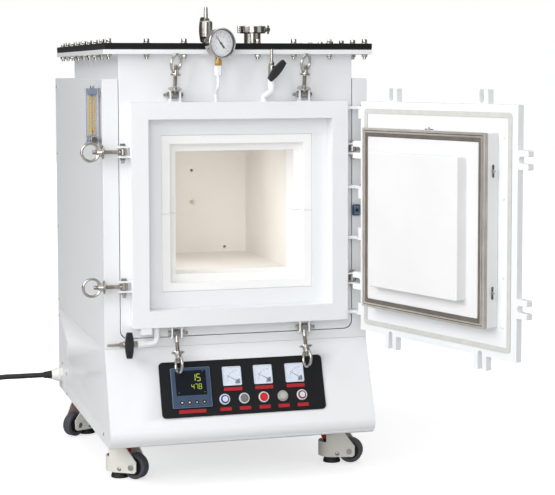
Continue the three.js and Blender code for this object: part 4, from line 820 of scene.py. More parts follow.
def copies(name, places, part, finish, roll=0.0, seed=3):
    """A plain mesh of one part set at many places, each a matrix in millimetres."""
    work = bmesh.new()
    shape = bpy.data.meshes.new(name)
    for place in places:
        work.verts.new(HOME @ place.translation)
    work.to_mesh(shape)
    work.free()
    turn = shape.attributes.new("turn", "FLOAT_VECTOR", "POINT")
    for i, place in enumerate(places):
        turn.data[i].vector = place.to_euler("XYZ")
    piece = bpy.data.objects.new(name, shape)
    bpy.context.scene.collection.objects.link(piece)
    model = bpy.data.meshes.new(f"{name}_one")
    part.mesh.transform(Matrix.Scale(METRES, 4))
    part.mesh.to_mesh(model)
    part.mesh.free()
    model.set_sharp_from_angle(angle=math.radians(40))
    one = bpy.data.objects.new(f"{name}_one", model)
    bpy.context.scene.collection.objects.link(one)
    modifier = piece.modifiers.new("Copies", "NODES")
    modifier.node_group = bpy.data.node_groups.get("Copies on points") or copies_tree()
    set_inputs(modifier, Part=one, Size=1.0, Roll=roll, Seed=seed, Finish=FINISHES[finish])
    settled(piece)
    bpy.data.objects.remove(one)
    return piece


# The furnace's pieces, one operator for each group


class FurnaceOperator:
    """What the furnace's operators share."""

    bl_options = {"REGISTER", "UNDO"}

    def execute(self, context):
        self.make(context.scene.furnace_sizes, context.scene.furnace_colours)
        return {"FINISHED"}


class FURNACE_OT_stage(FurnaceOperator, bpy.types.Operator):
    """Floor, backdrop, lamps and the camera"""

    bl_idname = "furnace.stage"
    bl_label = "Stage and camera"

    def make(self, sizes, colours):
        make_finishes(colours)
        self.camera()
        self.world()
        self.floor()
        self.lamps()

    def camera(self):
        data = bpy.data.cameras.new("camera")
        eye = bpy.data.objects.new("camera", data)
        bpy.context.scene.collection.objects.link(eye)
        pixels = 1605.7
        data.sensor_width = 36
        data.lens = pixels * data.sensor_width / PHOTO_WIDTH
        data.shift_y = -55 / PHOTO_WIDTH
        data.clip_end = 60
        yaw, pitch, roll = math.radians(16.045), math.radians(4.305), math.radians(-0.134)
        way = Vector((math.sin(yaw) * math.cos(pitch), math.cos(yaw) * math.cos(pitch), -math.sin(pitch)))
        eye.matrix_world = (
            Matrix.Translation(HOME @ Vector((-969.11, -3673.53, 986.82)))
            @ way.to_track_quat("-Z", "Y").to_matrix().to_4x4()
            @ Matrix.Rotation(roll, 4, "Z")
        )
        bpy.context.scene.camera = eye
        bpy.context.scene.view_settings.view_transform = "Standard"

    def world(self):
        world = bpy.data.worlds.new("studio")
        bpy.context.scene.world = world
        world.use_nodes = True
        nodes, links = world.node_tree.nodes, world.node_tree.links
        nodes.clear()
        path = nodes.new("ShaderNodeLightPath")
        seen = nodes.new("ShaderNodeMath")
        seen.operation = "MAXIMUM"
        links.new(path.outputs["Is Camera Ray"], seen.inputs[0])
        links.new(path.outputs["Is Transmission Ray"], seen.inputs[1])
        white = nodes.new("ShaderNodeBackground")
        white.inputs["Color"].default_value = (1, 1, 1, 1)
        soft = nodes.new("ShaderNodeBackground")
        coordinate = nodes.new("ShaderNodeTexCoord")
        height = nodes.new("ShaderNodeSeparateXYZ")
        bands = nodes.new("ShaderNodeFloatCurve")
        curve = bands.mapping.curves[0]
        curve.points[0].location = (0, 0.5)
        curve.points[1].location = (1, 0.56)
        for level, strength in ((0.44, 0.42), (0.5, 0.12), (0.56, 0.18), (0.68, 0.44)):
            curve.points.new(level, strength)
        bands.mapping.update()
        span = nodes.new("ShaderNodeMapRange")
        span.inputs["From Min"].default_value = -1
        span.inputs["From Max"].default_value = 1
        links.new(coordinate.outputs["Generated"], height.inputs["Vector"])
        links.new(height.outputs["Z"], span.inputs["Value"])
        links.new(span.outputs["Result"], bands.inputs["Value"])
        links.new(bands.outputs["Value"], soft.inputs["Strength"])
        mix = nodes.new("ShaderNodeMixShader")
        out = nodes.new("ShaderNodeOutputWorld")
        links.new(seen.outputs["Value"], mix.inputs["Fac"])
        links.new(soft.outputs["Background"], mix.inputs[1])
        links.new(white.outputs["Background"], mix.inputs[2])
        links.new(mix.outputs["Shader"], out.inputs["Surface"])

    def floor(self):
        mesh = bpy.data.meshes.new("floor")
        reach = 14
        mesh.from_pydata(
            [(-reach, -reach, 0), (reach, -reach, 0), (reach, reach, 0), (-reach, reach, 0)],
            [],
            [(0, 1, 2, 3)],
        )
        material, nodes, links, shader = new_material("pale_floor")
        shader.inputs["Base Color"].default_value = (0.56, 0.56, 0.56, 1)
        shader.inputs["Roughness"].default_value = 0.6
        shader.inputs["Specular IOR Level"].default_value = 0.15
        path = nodes.new("ShaderNodeLightPath")
        coordinate = nodes.new("ShaderNodeTexCoord")
        reach_of = nodes.new("ShaderNodeVectorMath")
        reach_of.operation = "LENGTH"
        span = nodes.new("ShaderNodeMapRange")
        span.interpolation_type = "SMOOTHSTEP"
        span.inputs["From Min"].default_value = 0.7
        span.inputs["From Max"].default_value = 1.9
        span.inputs["To Min"].default_value = 0.64
        span.inputs["To Max"].default_value = 1
        seen = nodes.new("ShaderNodeMath")
        seen.operation = "MULTIPLY"
        glow = nodes.new("ShaderNodeEmission")
        both = nodes.new("ShaderNodeAddShader")
        links.new(coordinate.outputs["Object"], reach_of.inputs[0])
        links.new(reach_of.outputs["Value"], span.inputs["Value"])
        links.new(path.outputs["Is Camera Ray"], seen.inputs[0])
        links.new(span.outputs["Result"], seen.inputs[1])
        links.new(seen.outputs["Value"], glow.inputs["Strength"])
        links.new(shader.outputs["BSDF"], both.inputs[0])
        links.new(glow.outputs["Emission"], both.inputs[1])
        links.new(both.outputs["Shader"], nodes["Material Output"].inputs["Surface"])
        mesh.materials.append(material)
        floor = bpy.data.objects.new("floor", mesh)
        bpy.context.scene.collection.objects.link(floor)

    def lamps(self):
        for name, place, target, size, power in (
            ("key", (-3.8, -1.8, 2.8), (0, 0.1, 0.8), 3.0, 134),
            ("front", (-1.6, -4.2, 1.6), (0, 0, 0.95), 2.4, 70),
            ("fill", (3.4, -3.0, 2.0), (0, 0.1, 0.6), 3.0, 20),
            ("top", (0.2, 0.4, 4.4), (0, 0.3, 0.5), 3.2, 44),
            ("chamber", (-0.13, 0.06, 0.70), (0.03, 0.4, 0.56), 0.16, 0.34),
        ):
            data = bpy.data.lights.new(name, "AREA")
            data.size = size
            data.energy = power
            lamp = bpy.data.objects.new(name, data)
            bpy.context.scene.collection.objects.link(lamp)
            lamp.visible_camera = False
            lamp.location = place
            lamp.rotation_euler = (Vector(target) - Vector(place)).to_track_quat("-Z", "Y").to_euler()


# The cable's route in metres, from the gland to the coil, as points on its centre line
CABLE_ROUTE = [
    (-0.345, 0.730, 0.151),
    (-0.372, 0.730, 0.151),
    (-0.410, 0.730, 0.151),
    (-0.450, 0.730, 0.151),
    (-0.490, 0.730, 0.151),
    (-0.5157, 0.730, 0.1465),
    (-0.5382, 0.730, 0.1334),
    (-0.5549, 0.730, 0.1135),
    (-0.5639, 0.730, 0.0891),
    (-0.5661, 0.730, 0.0692),
    (-0.5751, 0.730, 0.0448),
    (-0.5918, 0.730, 0.0249),
    (-0.6143, 0.730, 0.0118),
    (-0.641, 0.730, 0.0073),
    (-0.6557, 0.730, 0.0073),
]
COIL = {"x": -0.670, "y": 0.646, "radius": 0.084, "turns": 3.4, "pitch": 0.0148, "z": 0.0073, "steps": 36}
COIL_TAIL = 0.052
PLUG_HEIGHT = 0.0263


def coil_path():
    """Centre line of the coil and the way in which it ends."""
    points = []
    count = round(COIL["turns"] * COIL["steps"])
    half = COIL["turns"] / 2
    for i in range(count + 1):
        turn = i / COIL["steps"]
        radius = COIL["radius"] - COIL["pitch"] * (half - abs(turn - half))
        climb = min(max((turn - half) * 2 + 0.5, 0), 1)
        angle = math.pi / 2 + turn * math.tau
        points.append(Vector((
            COIL["x"] + radius * math.cos(angle),
            COIL["y"] + radius * math.sin(angle),
            COIL["z"] + COIL["pitch"] * climb * climb * (3 - 2 * climb),
        )))
    angle = math.pi / 2 + count / COIL["steps"] * math.tau
    way = Vector((-math.sin(angle), math.cos(angle), 0))
    last = points[-1].copy()
    for share, height in ((1 / 3, 1 / 2), (2 / 3, 1), (1, 1)):
        point = last + way * COIL_TAIL * share
        point.z = last.z + (PLUG_HEIGHT - last.z) * height
        points.append(point)
    return points, way


class FURNACE_OT_cable(FurnaceOperator, bpy.types.Operator):
    """Mains cable with its coil, its plug and its gland"""

    bl_idname = "furnace.cable"
    bl_label = "Mains cable"

    def make(self, sizes, colours):
        coil, way = coil_path()
        shift = HOME.translation
        route = smooth_path([Vector(p) + shift for p in CABLE_ROUTE[:-1]], 4)
        path = route[:-1] + smooth_path([Vector(CABLE_ROUTE[-2]) + shift, *[p + shift for p in coil]], 2)
        curve = bpy.data.curves.new("cable_path", "CURVE")
        curve.dimensions = "3D"
        spline = curve.splines.new("POLY")
        spline.points.add(len(path) - 1)
        for point, place in zip(spline.points, path):
            point.co = (*place, 1)
        piece = bpy.data.objects.new("mains_lead", curve)
        bpy.context.scene.collection.objects.link(piece)
        modifier = piece.modifiers.new("Round section", "NODES")
        modifier.node_group = path_tree()
        set_inputs(modifier, Radius=sizes.cable_radius * METRES, Sides=18, Finish=FINISHES["cable"])
        bpy.context.view_layer.update()
        graph = bpy.context.evaluated_depsgraph_get()
        mesh = bpy.data.meshes.new_from_object(piece.evaluated_get(graph))
        bpy.data.objects.remove(piece)
        lead = bpy.data.objects.new("mains_lead", mesh)
        bpy.context.scene.collection.objects.link(lead)
        carried(lead, "furnace", ("mains_cable", "mains_coil"))
        plug = self.plug(path[-1], way)
        self.gland()

    def plug(self, end, way):
        work = Work()
        start = HOME.inverted() @ end
        place = aimed(start + way * 0.3, way)
        work.add(
            turned([(0, 0), (13.6, 0), (15, 1.4), (15, 14), (13, 18), (0, 18)]), "plug_blue", place, 0.5
        )
        ridges = [(0, 16), (17, 16)]
        for i in range(8):
            ridges += [
                (19.4 + i * 0.1, 24 + i * 6), (20.4 + i * 0.1, 26 + i * 6), (20.4 + i * 0.1, 28 + i * 6)
            ]
        work.add(turned([*ridges, (21.6, 74), (0, 74)]), "plug_blue", place)
        work.add(turned([(0, 73), (26, 73), (26, 84), (0, 84)]), "plug_blue", place, 1.2, 3)
        work.add(turned([(0, 83), (22, 83), (22, 96), (0, 96)]), "ink_black", place, 0.8)
        for i in range(3):
            a = math.tau * i / 3
            x, y = 11 * math.cos(a), 11 * math.sin(a)
            work.add(turned([(0, 94), (3, 94), (3, 116), (2, 118), (0, 118)], 20),
                     "brass", place @ Matrix.Translation((x, y, 0)), 0.3)
        return work.done("mains_plug_body", "furnace", ("mains_plug",))

    def gland(self):
        work = Work()
        left = aimed((0, 730, 151), (-1, 0, 0))
        work.add(
            plate(corner_arc(0, 0, 20.5, 0, 360, 6)[:-1], 326.3, 333, [circle(0, 0, 7.6)]),
            "nylon_white",
            left,
            0.8,
        )
        work.add(turned([(7.6, 333), (18, 333), (19, 334), (19, 339), (12.5, 356), (7.6, 356), (7.6, 333)]),
                 "nylon_white", left, 0.4)
        for i in range(16):
            turn = left @ Matrix.Rotation(math.tau * i / 16, 4, "Z")
            work.add(block((17.5, 19.6), (-1.1, 1.1), (333.6, 339.5)), "nylon_white", turn, 0.3)
        sleeve = [(7.3, 355), (12, 356)]
        for i in range(5):
            r = 11.8 - i * 0.5
            sleeve += [(r, 357.5 + i * 3.6), (r - 1, 358.4 + i * 3.6), (r - 1, 360.2 + i * 3.6)]
        work.add(turned([*sleeve, (9.3, 376), (7.3, 378), (7.3, 355)]), "rubber", left)
        work.add(turned([(7.4, 316), (9, 316), (9, 327), (7.4, 327), (7.4, 316)]), "nylon_white", left)
        work.add(
            plate(corner_arc(0, 0, 15, 0, 360, 6)[:-1], 318.2, 323.1, [circle(0, 0, 9.1)]),
            "nylon_white",
            left,
            0.5,
        )
        work.done("cable_gland_body", "furnace", ("cable_gland",))


def pan_head(radius=4.0, height=2.2):
    """A domed screw head with a cross slot, its underside at zero."""
    part = Work()
    dome = [
        (0, 0),
        (radius, 0),
        (radius, height * 0.35),
        (radius * 0.82, height * 0.8),
        (radius * 0.5, height),
        (0, height),
    ]
    part.add(turned(dome, 24), "zinc")
    slot = radius * 0.55
    for way in (0, 90):
        part.add(
            block((-slot, slot), (-radius * 0.1, radius * 0.1), (height - 0.1, height + 0.04)),
            "ink_black",
            Matrix.Rotation(math.radians(way), 4, "Z"),
        )
    return part


class FURNACE_OT_cabinet(FurnaceOperator, bpy.types.Operator):
    """Base cabinet, upper housing and vessel with their screws"""

    bl_idname = "furnace.cabinet"
    bl_label = "Cabinet, housing and vessel"

    def make(self, sizes, colours):
        base = Work()
        base.solid("lower_cabinet", "white_paint", sizes.sheet_edge, 3)
        base.done("base_cabinet_sheet", "furnace", ("lower_cabinet",))
        housing = Work()
        housing.solid("upper_housing", "white_paint", sizes.sheet_edge / 2, 2)
        housing.done("housing_sheet", "furnace", ("upper_housing",))
        vessel = Work()
        vessel.solid("vessel", "white_paint", sizes.plate_edge, 2)
        vessel.done("vessel_shell", "furnace", ("vessel",))
        self.screws()

    def screws(self):
        left = [aimed((-326, 62, 128), (-1, 0, 0))]
        left += [aimed((-326, 766, z), (-1, 0, 0)) for z in (128, 312, 356, 560, 764, 946)]
        right = [aimed((326, p.translation.y, p.translation.z), (1, 0, 0)) for p in left]
        left += [aimed((-326, y, z), (-1, 0, 0)) for y, z in ((716, 184), (645, 167), (645, 111))]
        rear = [aimed((x, 790, z), (0, 1, 0)) for x in (-308, 0, 308) for z in (128, 312, 356, 946)]
        carried(copies("sheet_screws", [*left, *right, *rear], pan_head(), "zinc", 6.28, 5), "furnace")


class FURNACE_OT_lid(FurnaceOperator, bpy.types.Operator):
    """Lid, gasket, bolts and nuts"""

    bl_idname = "furnace.lid"
    bl_label = "Bolted lid"

    def make(self, sizes, colours):
        lid = Work()
        holes = [circle(76, 183, 18), circle(-42, 183, 5, 24)]
        lid.add(
            plate(rectangle(-328, 5, 328, 742, 3, 3), 1042, 1054, holes),
            "black_paint",
            edge=sizes.plate_edge,
            steps=3,
        )
        lid.done("lid_sheet", "furnace", ("lid_plate",))
        gasket = Work()
        gasket.add(plate(rectangle(-327.4, 5.6, 327.4, 741.4, 3, 3), 1039.1, 1041.9,
                         [rectangle(-282, 45, 282, 692)]), "rubber", edge=0.6)
        gasket.done("lid_seal", "furnace", ("lid_gasket",))
        places = self.places()
        bolt = Work()
        bolt.add(turned([(0, 0), (7.6, 0), (7.6, 1.6), (0, 1.6)], 28), "stainless", edge=0.3)
        bolt.add(hexagon(6.5, 1.5, 10.5), "stainless", edge=0.8)
        heads = copies(
            "lid_bolts",
            [Matrix.Translation((x, y, LID_TOP)) for x, y in places],
            bolt,
            "bright_steel",
            1.05,
            11,
        )
        carried(heads, "furnace")
        nut = Work()
        nut.add(turned([(0, 0), (8.4, 0), (8.4, 1.4), (0, 1.4)], 28), "stainless", edge=0.3)
        nut.add(hexagon(7.4, 1.3, 6.4), "stainless", edge=0.6)
        nut.add(turned([(0, 6.3), (4.2, 6.3), (4.2, 11), (3.4, 11.9), (0, 11.9)], 24), "stainless")
        down = Matrix.Rotation(math.pi, 4, "X")
        nuts = copies("lid_nuts", [Matrix.Translation((x, y, FLANGE_LOW)) @ down for x, y in places], nut,
                      "bright_steel", 1.05, 12)
        carried(nuts, "furnace")

    def places(self):
        """Where the bolts stand round the flange."""
        x, y0, y1 = 313, 20, 727
        found = []
        for i in range(8):
            across = -x + 2 * x * i / 7
            found += [(across, y0), (across, y1)]
        for i in range(1, 8):
            along = y0 + (y1 - y0) * i / 8
            found += [(-x, along), (x, along)]
        return found


class FURNACE_OT_chamber(FurnaceOperator, bpy.types.Operator):
    """Insulation block, collars, heating element and thermocouple"""

    bl_idname = "furnace.chamber"
    bl_label = "Chamber"

    def make(self, sizes, colours):
        block_ = Work()
        block_.solid("insulation_block", "chamber_board", sizes.ceramic_edge / 2, 2)
        block_.done("chamber_block", "furnace", ("insulation_block",))
        for node in ("collar_upper", "collar_lower"):
            collar = Work()
            collar.solid(node, "hard_board", sizes.ceramic_edge * 0.6, 3)
            collar.done(f"{node}_board", "furnace", (node,))
        element = Work()
        element.solid("heating_element", "element", 0.8)
        element.done("heater_bands", "furnace", ("heating_element",))
        probe = Work()
        probe.add(
            turned([(0, 0), (3.5, 0.8), (5, 4), (5, 197), (0, 197)]),
            "sheath",
            aimed((0, 502, 638), (0, 1, 0)),
        )
        probe.add(turned([(0, 0), (16, 0), (18, 2), (18, 30), (15, 36), (0, 36)]), "zinc",
                  aimed((0, 697.3, 638), (0, 1, 0)), 0.6)
        for side in (-1, 1):
            probe.add(turned([(0, 0), (3, 0), (3, 2), (0, 2.6)], 20), "ink_black",
                      aimed((side * 9, 733.3, 638), (0, 1, 0)))
        probe.done("thermocouple_probe", "furnace", ("thermocouple",))


# The clamps, as the solids have them: place, way out, head's side, ring's turn, lean and dropped washer
SIDE_REACH = 282
CLAMPS = {
    "left_upper": ((-SIDE_REACH, 18, 801), (-1, 0, 0), -1, 0, 0, False),
    "left_lower": ((-SIDE_REACH, 18, 485), (-1, 0, 0), -1, 0, 0, False),
    "right_upper": ((SIDE_REACH, 18, 801), (1, 0, 0), 1, 0, 0, False),
    "right_lower": ((SIDE_REACH, 18, 485), (1, 0, 0), 1, 0, 0, False),
    "top_left": ((-158, 18, 933), (0, 0, 1), -1, 45, -14, True),
    "top_right": ((158, 18, 933), (0, 0, 1), -1, 45, -14, True),
    "bottom_left": ((-158, 18, 369), (0, 0, -1), -1, 80, -21, False),
    "bottom_right": ((158, 18, 369), (0, 0, -1), -1, 80, -21, False),
}


def clamp_place(at, out, lean=0):
    """Local x points out of the frame, local y back and local z along the pin."""
    out = Vector(out)
    back = Vector((0, 1, 0))
    turn = Matrix((out, back, out.cross(back))).transposed().to_4x4()
    return Matrix.Translation(Vector(at)) @ turn @ Matrix.Rotation(math.radians(lean), 4, "Z")


class FURNACE_OT_door_frame(FurnaceOperator, bpy.types.Operator):
    """Door frame with its forks, hinge arms and welded pipes"""

    bl_idname = "furnace.door_frame"
    bl_label = "Door frame"

    def make(self, sizes, colours):
        work = Work()
        standing = Matrix.Rotation(math.radians(90), 4, "X")
        outline = rectangle(-265, 386, 265, 916, 2, 3)
        hole = rectangle(-225, 426, 225, 876, 2, 3)
        work.add(plate(outline, -39.7, 0, [hole]), "white_paint", standing, sizes.plate_edge, 3)
        for at, out, head, *_ in CLAMPS.values():
            self.fork(work, clamp_place(at, out), head, sizes)
        for level, way in ((900, -1), (708, -1), (585, 1), (403, 1)):
            self.arm(work, level, way, sizes)
        self.pipes(work)
        work.add(block((-246, -219), (2, 24), (370, 388)), "white_paint", edge=1.2)
        work.done("door_frame_plate", "furnace", ("door_frame",))

    def fork(self, work, place, head, sizes):
        ear = corner_arc(0, 0, 13.5, -48, 48, 12) + [(-18.8, 10), (-18.8, -10)]
        for low, high in ((9.5, 13.5), (-13.5, -9.5)):
            work.add(plate(ear, low, high), "white_paint", place, 0.8)
        for side in (-1, 1):
            work.add(bent([(-16.6, side * 10, z) for z in (-14, -5, 5, 14)], 1.6, 8), "white_paint", place)
        bolt = place if head > 0 else place @ Matrix.Rotation(math.pi, 4, "X")
        work.add(turned([(0, -26.5), (4, -26.5), (4, 14), (0, 14)]), "zinc", bolt, 0.4)
        work.add(threaded((0, 0, -27), (0, 0, -19), 4.05, 1.25), "zinc", bolt)
        work.add(turned([(0, 13.5), (9, 13.5), (9, 14.7), (0, 14.7)]), "bright_steel", bolt, 0.2)
        work.add(hexagon(7, 14.5, 19.6), "bright_steel", bolt, 0.6)
        work.add(turned([(0, -14.7), (9, -14.7), (9, -13.5), (0, -13.5)]), "bright_steel", bolt, 0.2)
        work.add(hexagon(7, -19.6, -14.6), "bright_steel", bolt, 0.6)

    def arm(self, work, level, way, sizes):
        x, y = HINGE.x, HINGE.y
        outline = [(263, 6), (284, 6), (283, -24)] + corner_arc(x, y, 11, 180, 360, 16)
        outline += [(305, 6), (302, 30), (263, 30)]
        work.add(plate(outline, level - 4, level + 4), "white_paint", edge=0.9)
        start = level - way * 6
        work.add(rod((x, y, start), (x, y, level + way * 28.8), 5, steps=32), "stainless", edge=0.4)
        cap = level - way * 4
        work.add(rod((x, y, cap), (x, y, cap - way * 3), 8.4, 7.4, 32), "stainless", edge=0.5)

    def pipes(self, work):
        for x, shift, radius, bend_low, bend_high, low, high, socket, sides in (
            (-58, -2, 4, 936, 952, 978, 1001, 9.5, 6),
            (60, 10, 7, 927, 942, 945, 968, 9.5, 0),
        ):
            end = (x + shift, -13)
            path = smooth_path([
                (x, 18, 913),
                (x, 18, bend_low),
                (x + shift / 2, 2.5, (bend_low + bend_high) / 2),
                (*end, bend_high),
                (*end, low + 2),
            ], 8)
            work.add(bent(path, radius, 28), "white_paint")
            work.add(hoop(radius + 0.6, 1.6, 36, 10), "white_paint", Matrix.Translation((x, 18, 916.4)))
            if sides:
                form = plate(corner_arc(0, 0, socket, 0, 360, 6)[:-1], low, high)
            else:
                form = turned([(0, low), (socket, low), (socket, high), (0, high)])
            work.add(form, "white_paint", Matrix.Translation((*end, 0)), 1.0, 3)
        path = smooth_path(
            [(-205, 18, 388), (-205, 18, 361), (-208.5, 18, 350.5), (-219, 18, 347), (-243, 18, 347)], 8
        )
        work.add(bent(path, 7, 28), "white_paint")
        work.add(hoop(7.6, 1.6, 36, 10), "white_paint", Matrix.Translation((-205, 18, 385.6)))
        work.add(rod((-234, 18, 347), (-252, 18, 347), 9), "white_paint", edge=1.0)


class FURNACE_OT_clamps(FurnaceOperator, bpy.types.Operator):
    """Eight swing bolts with their ring nuts"""

    bl_idname = "furnace.clamps"
    bl_label = "Swing bolts"

    def make(self, sizes, colours):
        for name, (at, out, _, ring, lean, dropped) in CLAMPS.items():
            self.bolt(name, clamp_place(at, out, lean), math.radians(ring), dropped, sizes)

    def bolt(self, name, place, ring, dropped, sizes):
        work = Work()
        work.add(tube((0, 0, -7.5), (0, 0, 7.5), 9, 4.4), "stainless", place, 0.8)
        along = Matrix.Rotation(math.pi / 2, 4, "Y")
        work.add(turned([(0, 6), (6, 6), (5, 12), (5, 22), (4.6, 23), (0, 23)]), "stainless", place @ along)
        work.add(threaded((22, 0, 0), (72, 0, 0), 5, sizes.thread_pitch), "stainless", place)
        low = 13.8 if dropped else 46
        work.add(tube((low, 0, 0), (low + 2, 0, 0), 16.5, 5.1), "bright_steel", place, 0.4)
        work.add(tube((48, 0, 0), (50, 0, 0), 13, 4.4), "bright_steel", place, 0.4)
        hub = [(4.4, 50), (9, 50), (9, 52), (7.6, 55), (6.8, 60.5), (6.2, 62), (4.4, 62), (4.4, 50)]
        work.add(turned(hub), "bright_steel", place @ along, 0.5)
        work.add(hoop(20.5, 3.4, 64, 16), "bright_steel",
                 place @ Matrix.Translation((76, 0, 0)) @ Matrix.Rotation(math.pi / 2 + ring, 4, "X"))
        for side in (-1, 1):
            start = Vector((59, 0, side * 4.6))
            turn = Matrix.Rotation(ring, 4, "X")
            start.rotate(turn.to_3x3())
            end = Vector((62, 0, side * 11))
            end.rotate(turn.to_3x3())
            work.add(rod(start, end, 3.0, 2.8, 20), "bright_steel", place, 0.4)
        body = f"swing_bolt_{name}"
        work.done(f"ring_nut_bolt_{name}", body, (body,))


# The door is made closed and turned open about its hinge
OPENED = Matrix.Translation(HINGE) @ Matrix.Rotation(OPEN_ANGLE, 4, "Z") @ Matrix.Translation(-HINGE)
STANDING = Matrix.Rotation(math.radians(90), 4, "X")


def door_outline():
    """The door plate's outline with its slotted lugs, round its middle."""
    half, reach, lug, slot = 274, 32, 21, 7
    run = []

    def lug_points(middle, deeper):
        inner = reach - 30 - deeper + slot
        near, far = middle - lug, middle + lug
        points = [(near, half), (near, half + reach - 2), (near + 2, half + reach)]
        points += [(middle - slot - 1, half + reach), (middle - slot, half + reach - 1)]
        points += [(middle + slot * math.cos(a), half + inner - slot * math.sin(a))
                   for a in [math.pi - math.pi * i / 12 for i in range(13)]]
        points += [(middle + slot, half + reach - 1), (middle + slot + 1, half + reach)]
        points += [(far - 2, half + reach), (far, half + reach - 2), (far, half)]
        return points

    for turn, deeper in ((0, 0), (90, 0), (180, 12), (270, 0)):
        angle = math.radians(-turn)
        side = [(-half, half), *lug_points(-158, deeper), *lug_points(158, deeper)]
        run += [(x * math.cos(angle) - y * math.sin(angle), x * math.sin(angle) + y * math.cos(angle))
                for x, y in side]
    return run


class FURNACE_OT_door(FurnaceOperator, bpy.types.Operator):
    """Door plate, seal, jacket, heat ring and ceramic plug"""

    bl_idname = "furnace.door"
    bl_label = "Door"

    def make(self, sizes, colours):
        self.leaf(sizes)
        self.seal()
        self.jacket(sizes)
        self.ring(sizes)
        self.plug(sizes)

    def at(self, z):
        return OPENED @ Matrix.Translation((0, 0, z)) @ STANDING

    def leaf(self, sizes):
        work = Work()
        work.add(plate(door_outline(), 3, 19), "white_paint", self.at(DOOR_MIDDLE), sizes.plate_edge, 3)
        for level, way in ((900, -1), (708, -1), (585, 1), (403, 1)):
            near = level + way * 4.3
            far = near + way * 22
            low, high = min(near, far), max(near, far)
            x, y = HINGE.x, HINGE.y
            work.add(tube((x, y, low), (x, y, high), 11, 5.8), "white_paint", OPENED, 0.8)
            leaf = plate([(268, y - 5), (x - 6.2, y - 5), (x - 6.2, -13), (268, -13)], low, high)
            work.add(leaf, "white_paint", OPENED, 0.8)
            work.add(
                plate([(x - 10, y - 5), (x - 5.9, y - 5), (x - 5.9, y + 5), (x - 10, y + 5)], low, high),
                "white_paint",
                OPENED,
            )
        work.done("door_leaf", "door", ("door_plate",))

    def frame_form(self, half, width, corner, low, high):
        inner = half - width
        return plate(rectangle(-half, -half, half, half, corner), low, high,
                     [rectangle(-inner, -inner, inner, inner, max(corner - width, 1))])

    def seal(self):
        work = Work()
        work.add(self.frame_form(257, 11, 10, 0.35, 2.9), "seal", self.at(DOOR_MIDDLE), 1.0)
        work.done("door_seal_strip", "door", ("door_seal",))
        back = Matrix.Rotation(math.pi, 4, "X")
        places = [self.at(z) @ Matrix.Translation((-231, 0, 3)) @ back for z in (846, 716, 547, 439)]
        screws = copies("door_screws", places, pan_head(4.6, 2.4), "nylon_white", 6.28, 21)
        carried(screws, "door")

    def jacket(self, sizes):
        work = Work()
        form = plate(rectangle(-214, -210, 214, 210, 3, 4), -27, 2.7)
        work.add(form, "door_board", self.at(646), 1.6, 3)
        # Black sheet just behind the jacket board, showing as a thin dark line at its back edge: painted
        # shade in the joint between the jacket and the heat ring
        work.add(plate(rectangle(-213, -209, 213, 209, 2, 3), -28.2, -26), "dark", self.at(646))
        for z in (774, 512):
            self.clip(work, OPENED @ aimed((-214, 13, z), (1, 0, 0), (0, 0, 1)))
        self.clip(work, OPENED @ aimed((0, 13, 856), (0, 0, -1), (1, 0, 0)))
        work.done("door_jacket_board", "door", ("door_jacket",))

    def ring(self, sizes):
        work = Work()
        place = self.at(646)
        for low, high, reach in (
            (-30.4, -28.4, 0),
            (-31.6, -30.4, 1.5),
            (-33.4, -31.6, 0),
            (-34.6, -33.4, 1.5),
            (-36.5, -34.6, 0),
        ):
            x, z = 214 - reach, 210 - reach
            work.add(plate(rectangle(-x, -z, x, z, 2, 3), low, high,
                           [rectangle(-195, -191, 195, 191, 1, 2)]), "folded_steel", place, 0.3)
        # The 1.4 mm black band, set lower than the steel bands beside it, is painted shade in the groove
        # between the two folded steel bands
        for reach, width, low, finish in ((0, 5.4, -38, "folded_steel"), (5.4, 1.4, -36.9, "dark"),
                                          (6.8, 3.8, -38, "folded_steel"), (10.6, 8.4, -36.9, "heat_seal")):
            x, z = 214 - reach, 210 - reach
            work.add(
                plate(
                    rectangle(-x, -z, x, z, 1.5, 3),
                    low,
                    -36.4,
                    [rectangle(width - x, width - z, x - width, z - width, 1, 2)],
                ),
                finish,
                place,
                0.2,
            )
        work.done("door_ring_sheet", "door", ("door_heat_ring",))

    def clip(self, work, place):
        work.add(
            turned([(0, 0.4), (3.8, 0.4), (3.4, -2.4), (2.4, -2.6), (2.4, -6), (0, -6.2)], 24),
            "zinc",
            place,
        )
        for side in (-1, 1):
            wing = [
                (side * 1.5, -1.8), (side * 12, -2.4), (side * 14.5, 0), (side * 12, 2.4), (side * 1.5, 1.8)
            ]
            if side > 0:
                wing.reverse()
            work.add(plate(wing, -2.4, -0.5), "element", place, 0.3)

    def plug(self, sizes):
        work = Work()
        base = plate(rectangle(-194, -190, 194, 190, 4, 4), -37.2, -28.4)
        work.add(base, "door_board", self.at(646), 1.8, 3)
        form = plate(rectangle(-156, -156, 156, 156, 5, 6), -63, -35)
        work.add(form, "door_board", self.at(647), 3, 4)
        work.done("door_plug_board", "door", ("door_plug",))


# Ball valves: local z runs along the bore to the barb, and local -y points at the lever
SMALL_VALVE = {"nut": 8, "nut_length": 8, "body": 8.6, "length": 26, "cap": 7, "cap_length": 7, "barb": 4.6,
               "barb_length": 30, "tip": 3.4, "stem": 3.5, "reach": 17}
OUTLET_VALVE = {**SMALL_VALVE, "reach": 9}
LARGE_VALVE = {
    "nut": 10,
    "nut_length": 15,
    "body": 16,
    "length": 42,
    "cap": 9,
    "cap_length": 6,
    "barb": 5.8,
    "barb_length": 28,
    "tip": 4.5,
    "stem": 4,
    "reach": 24,
}


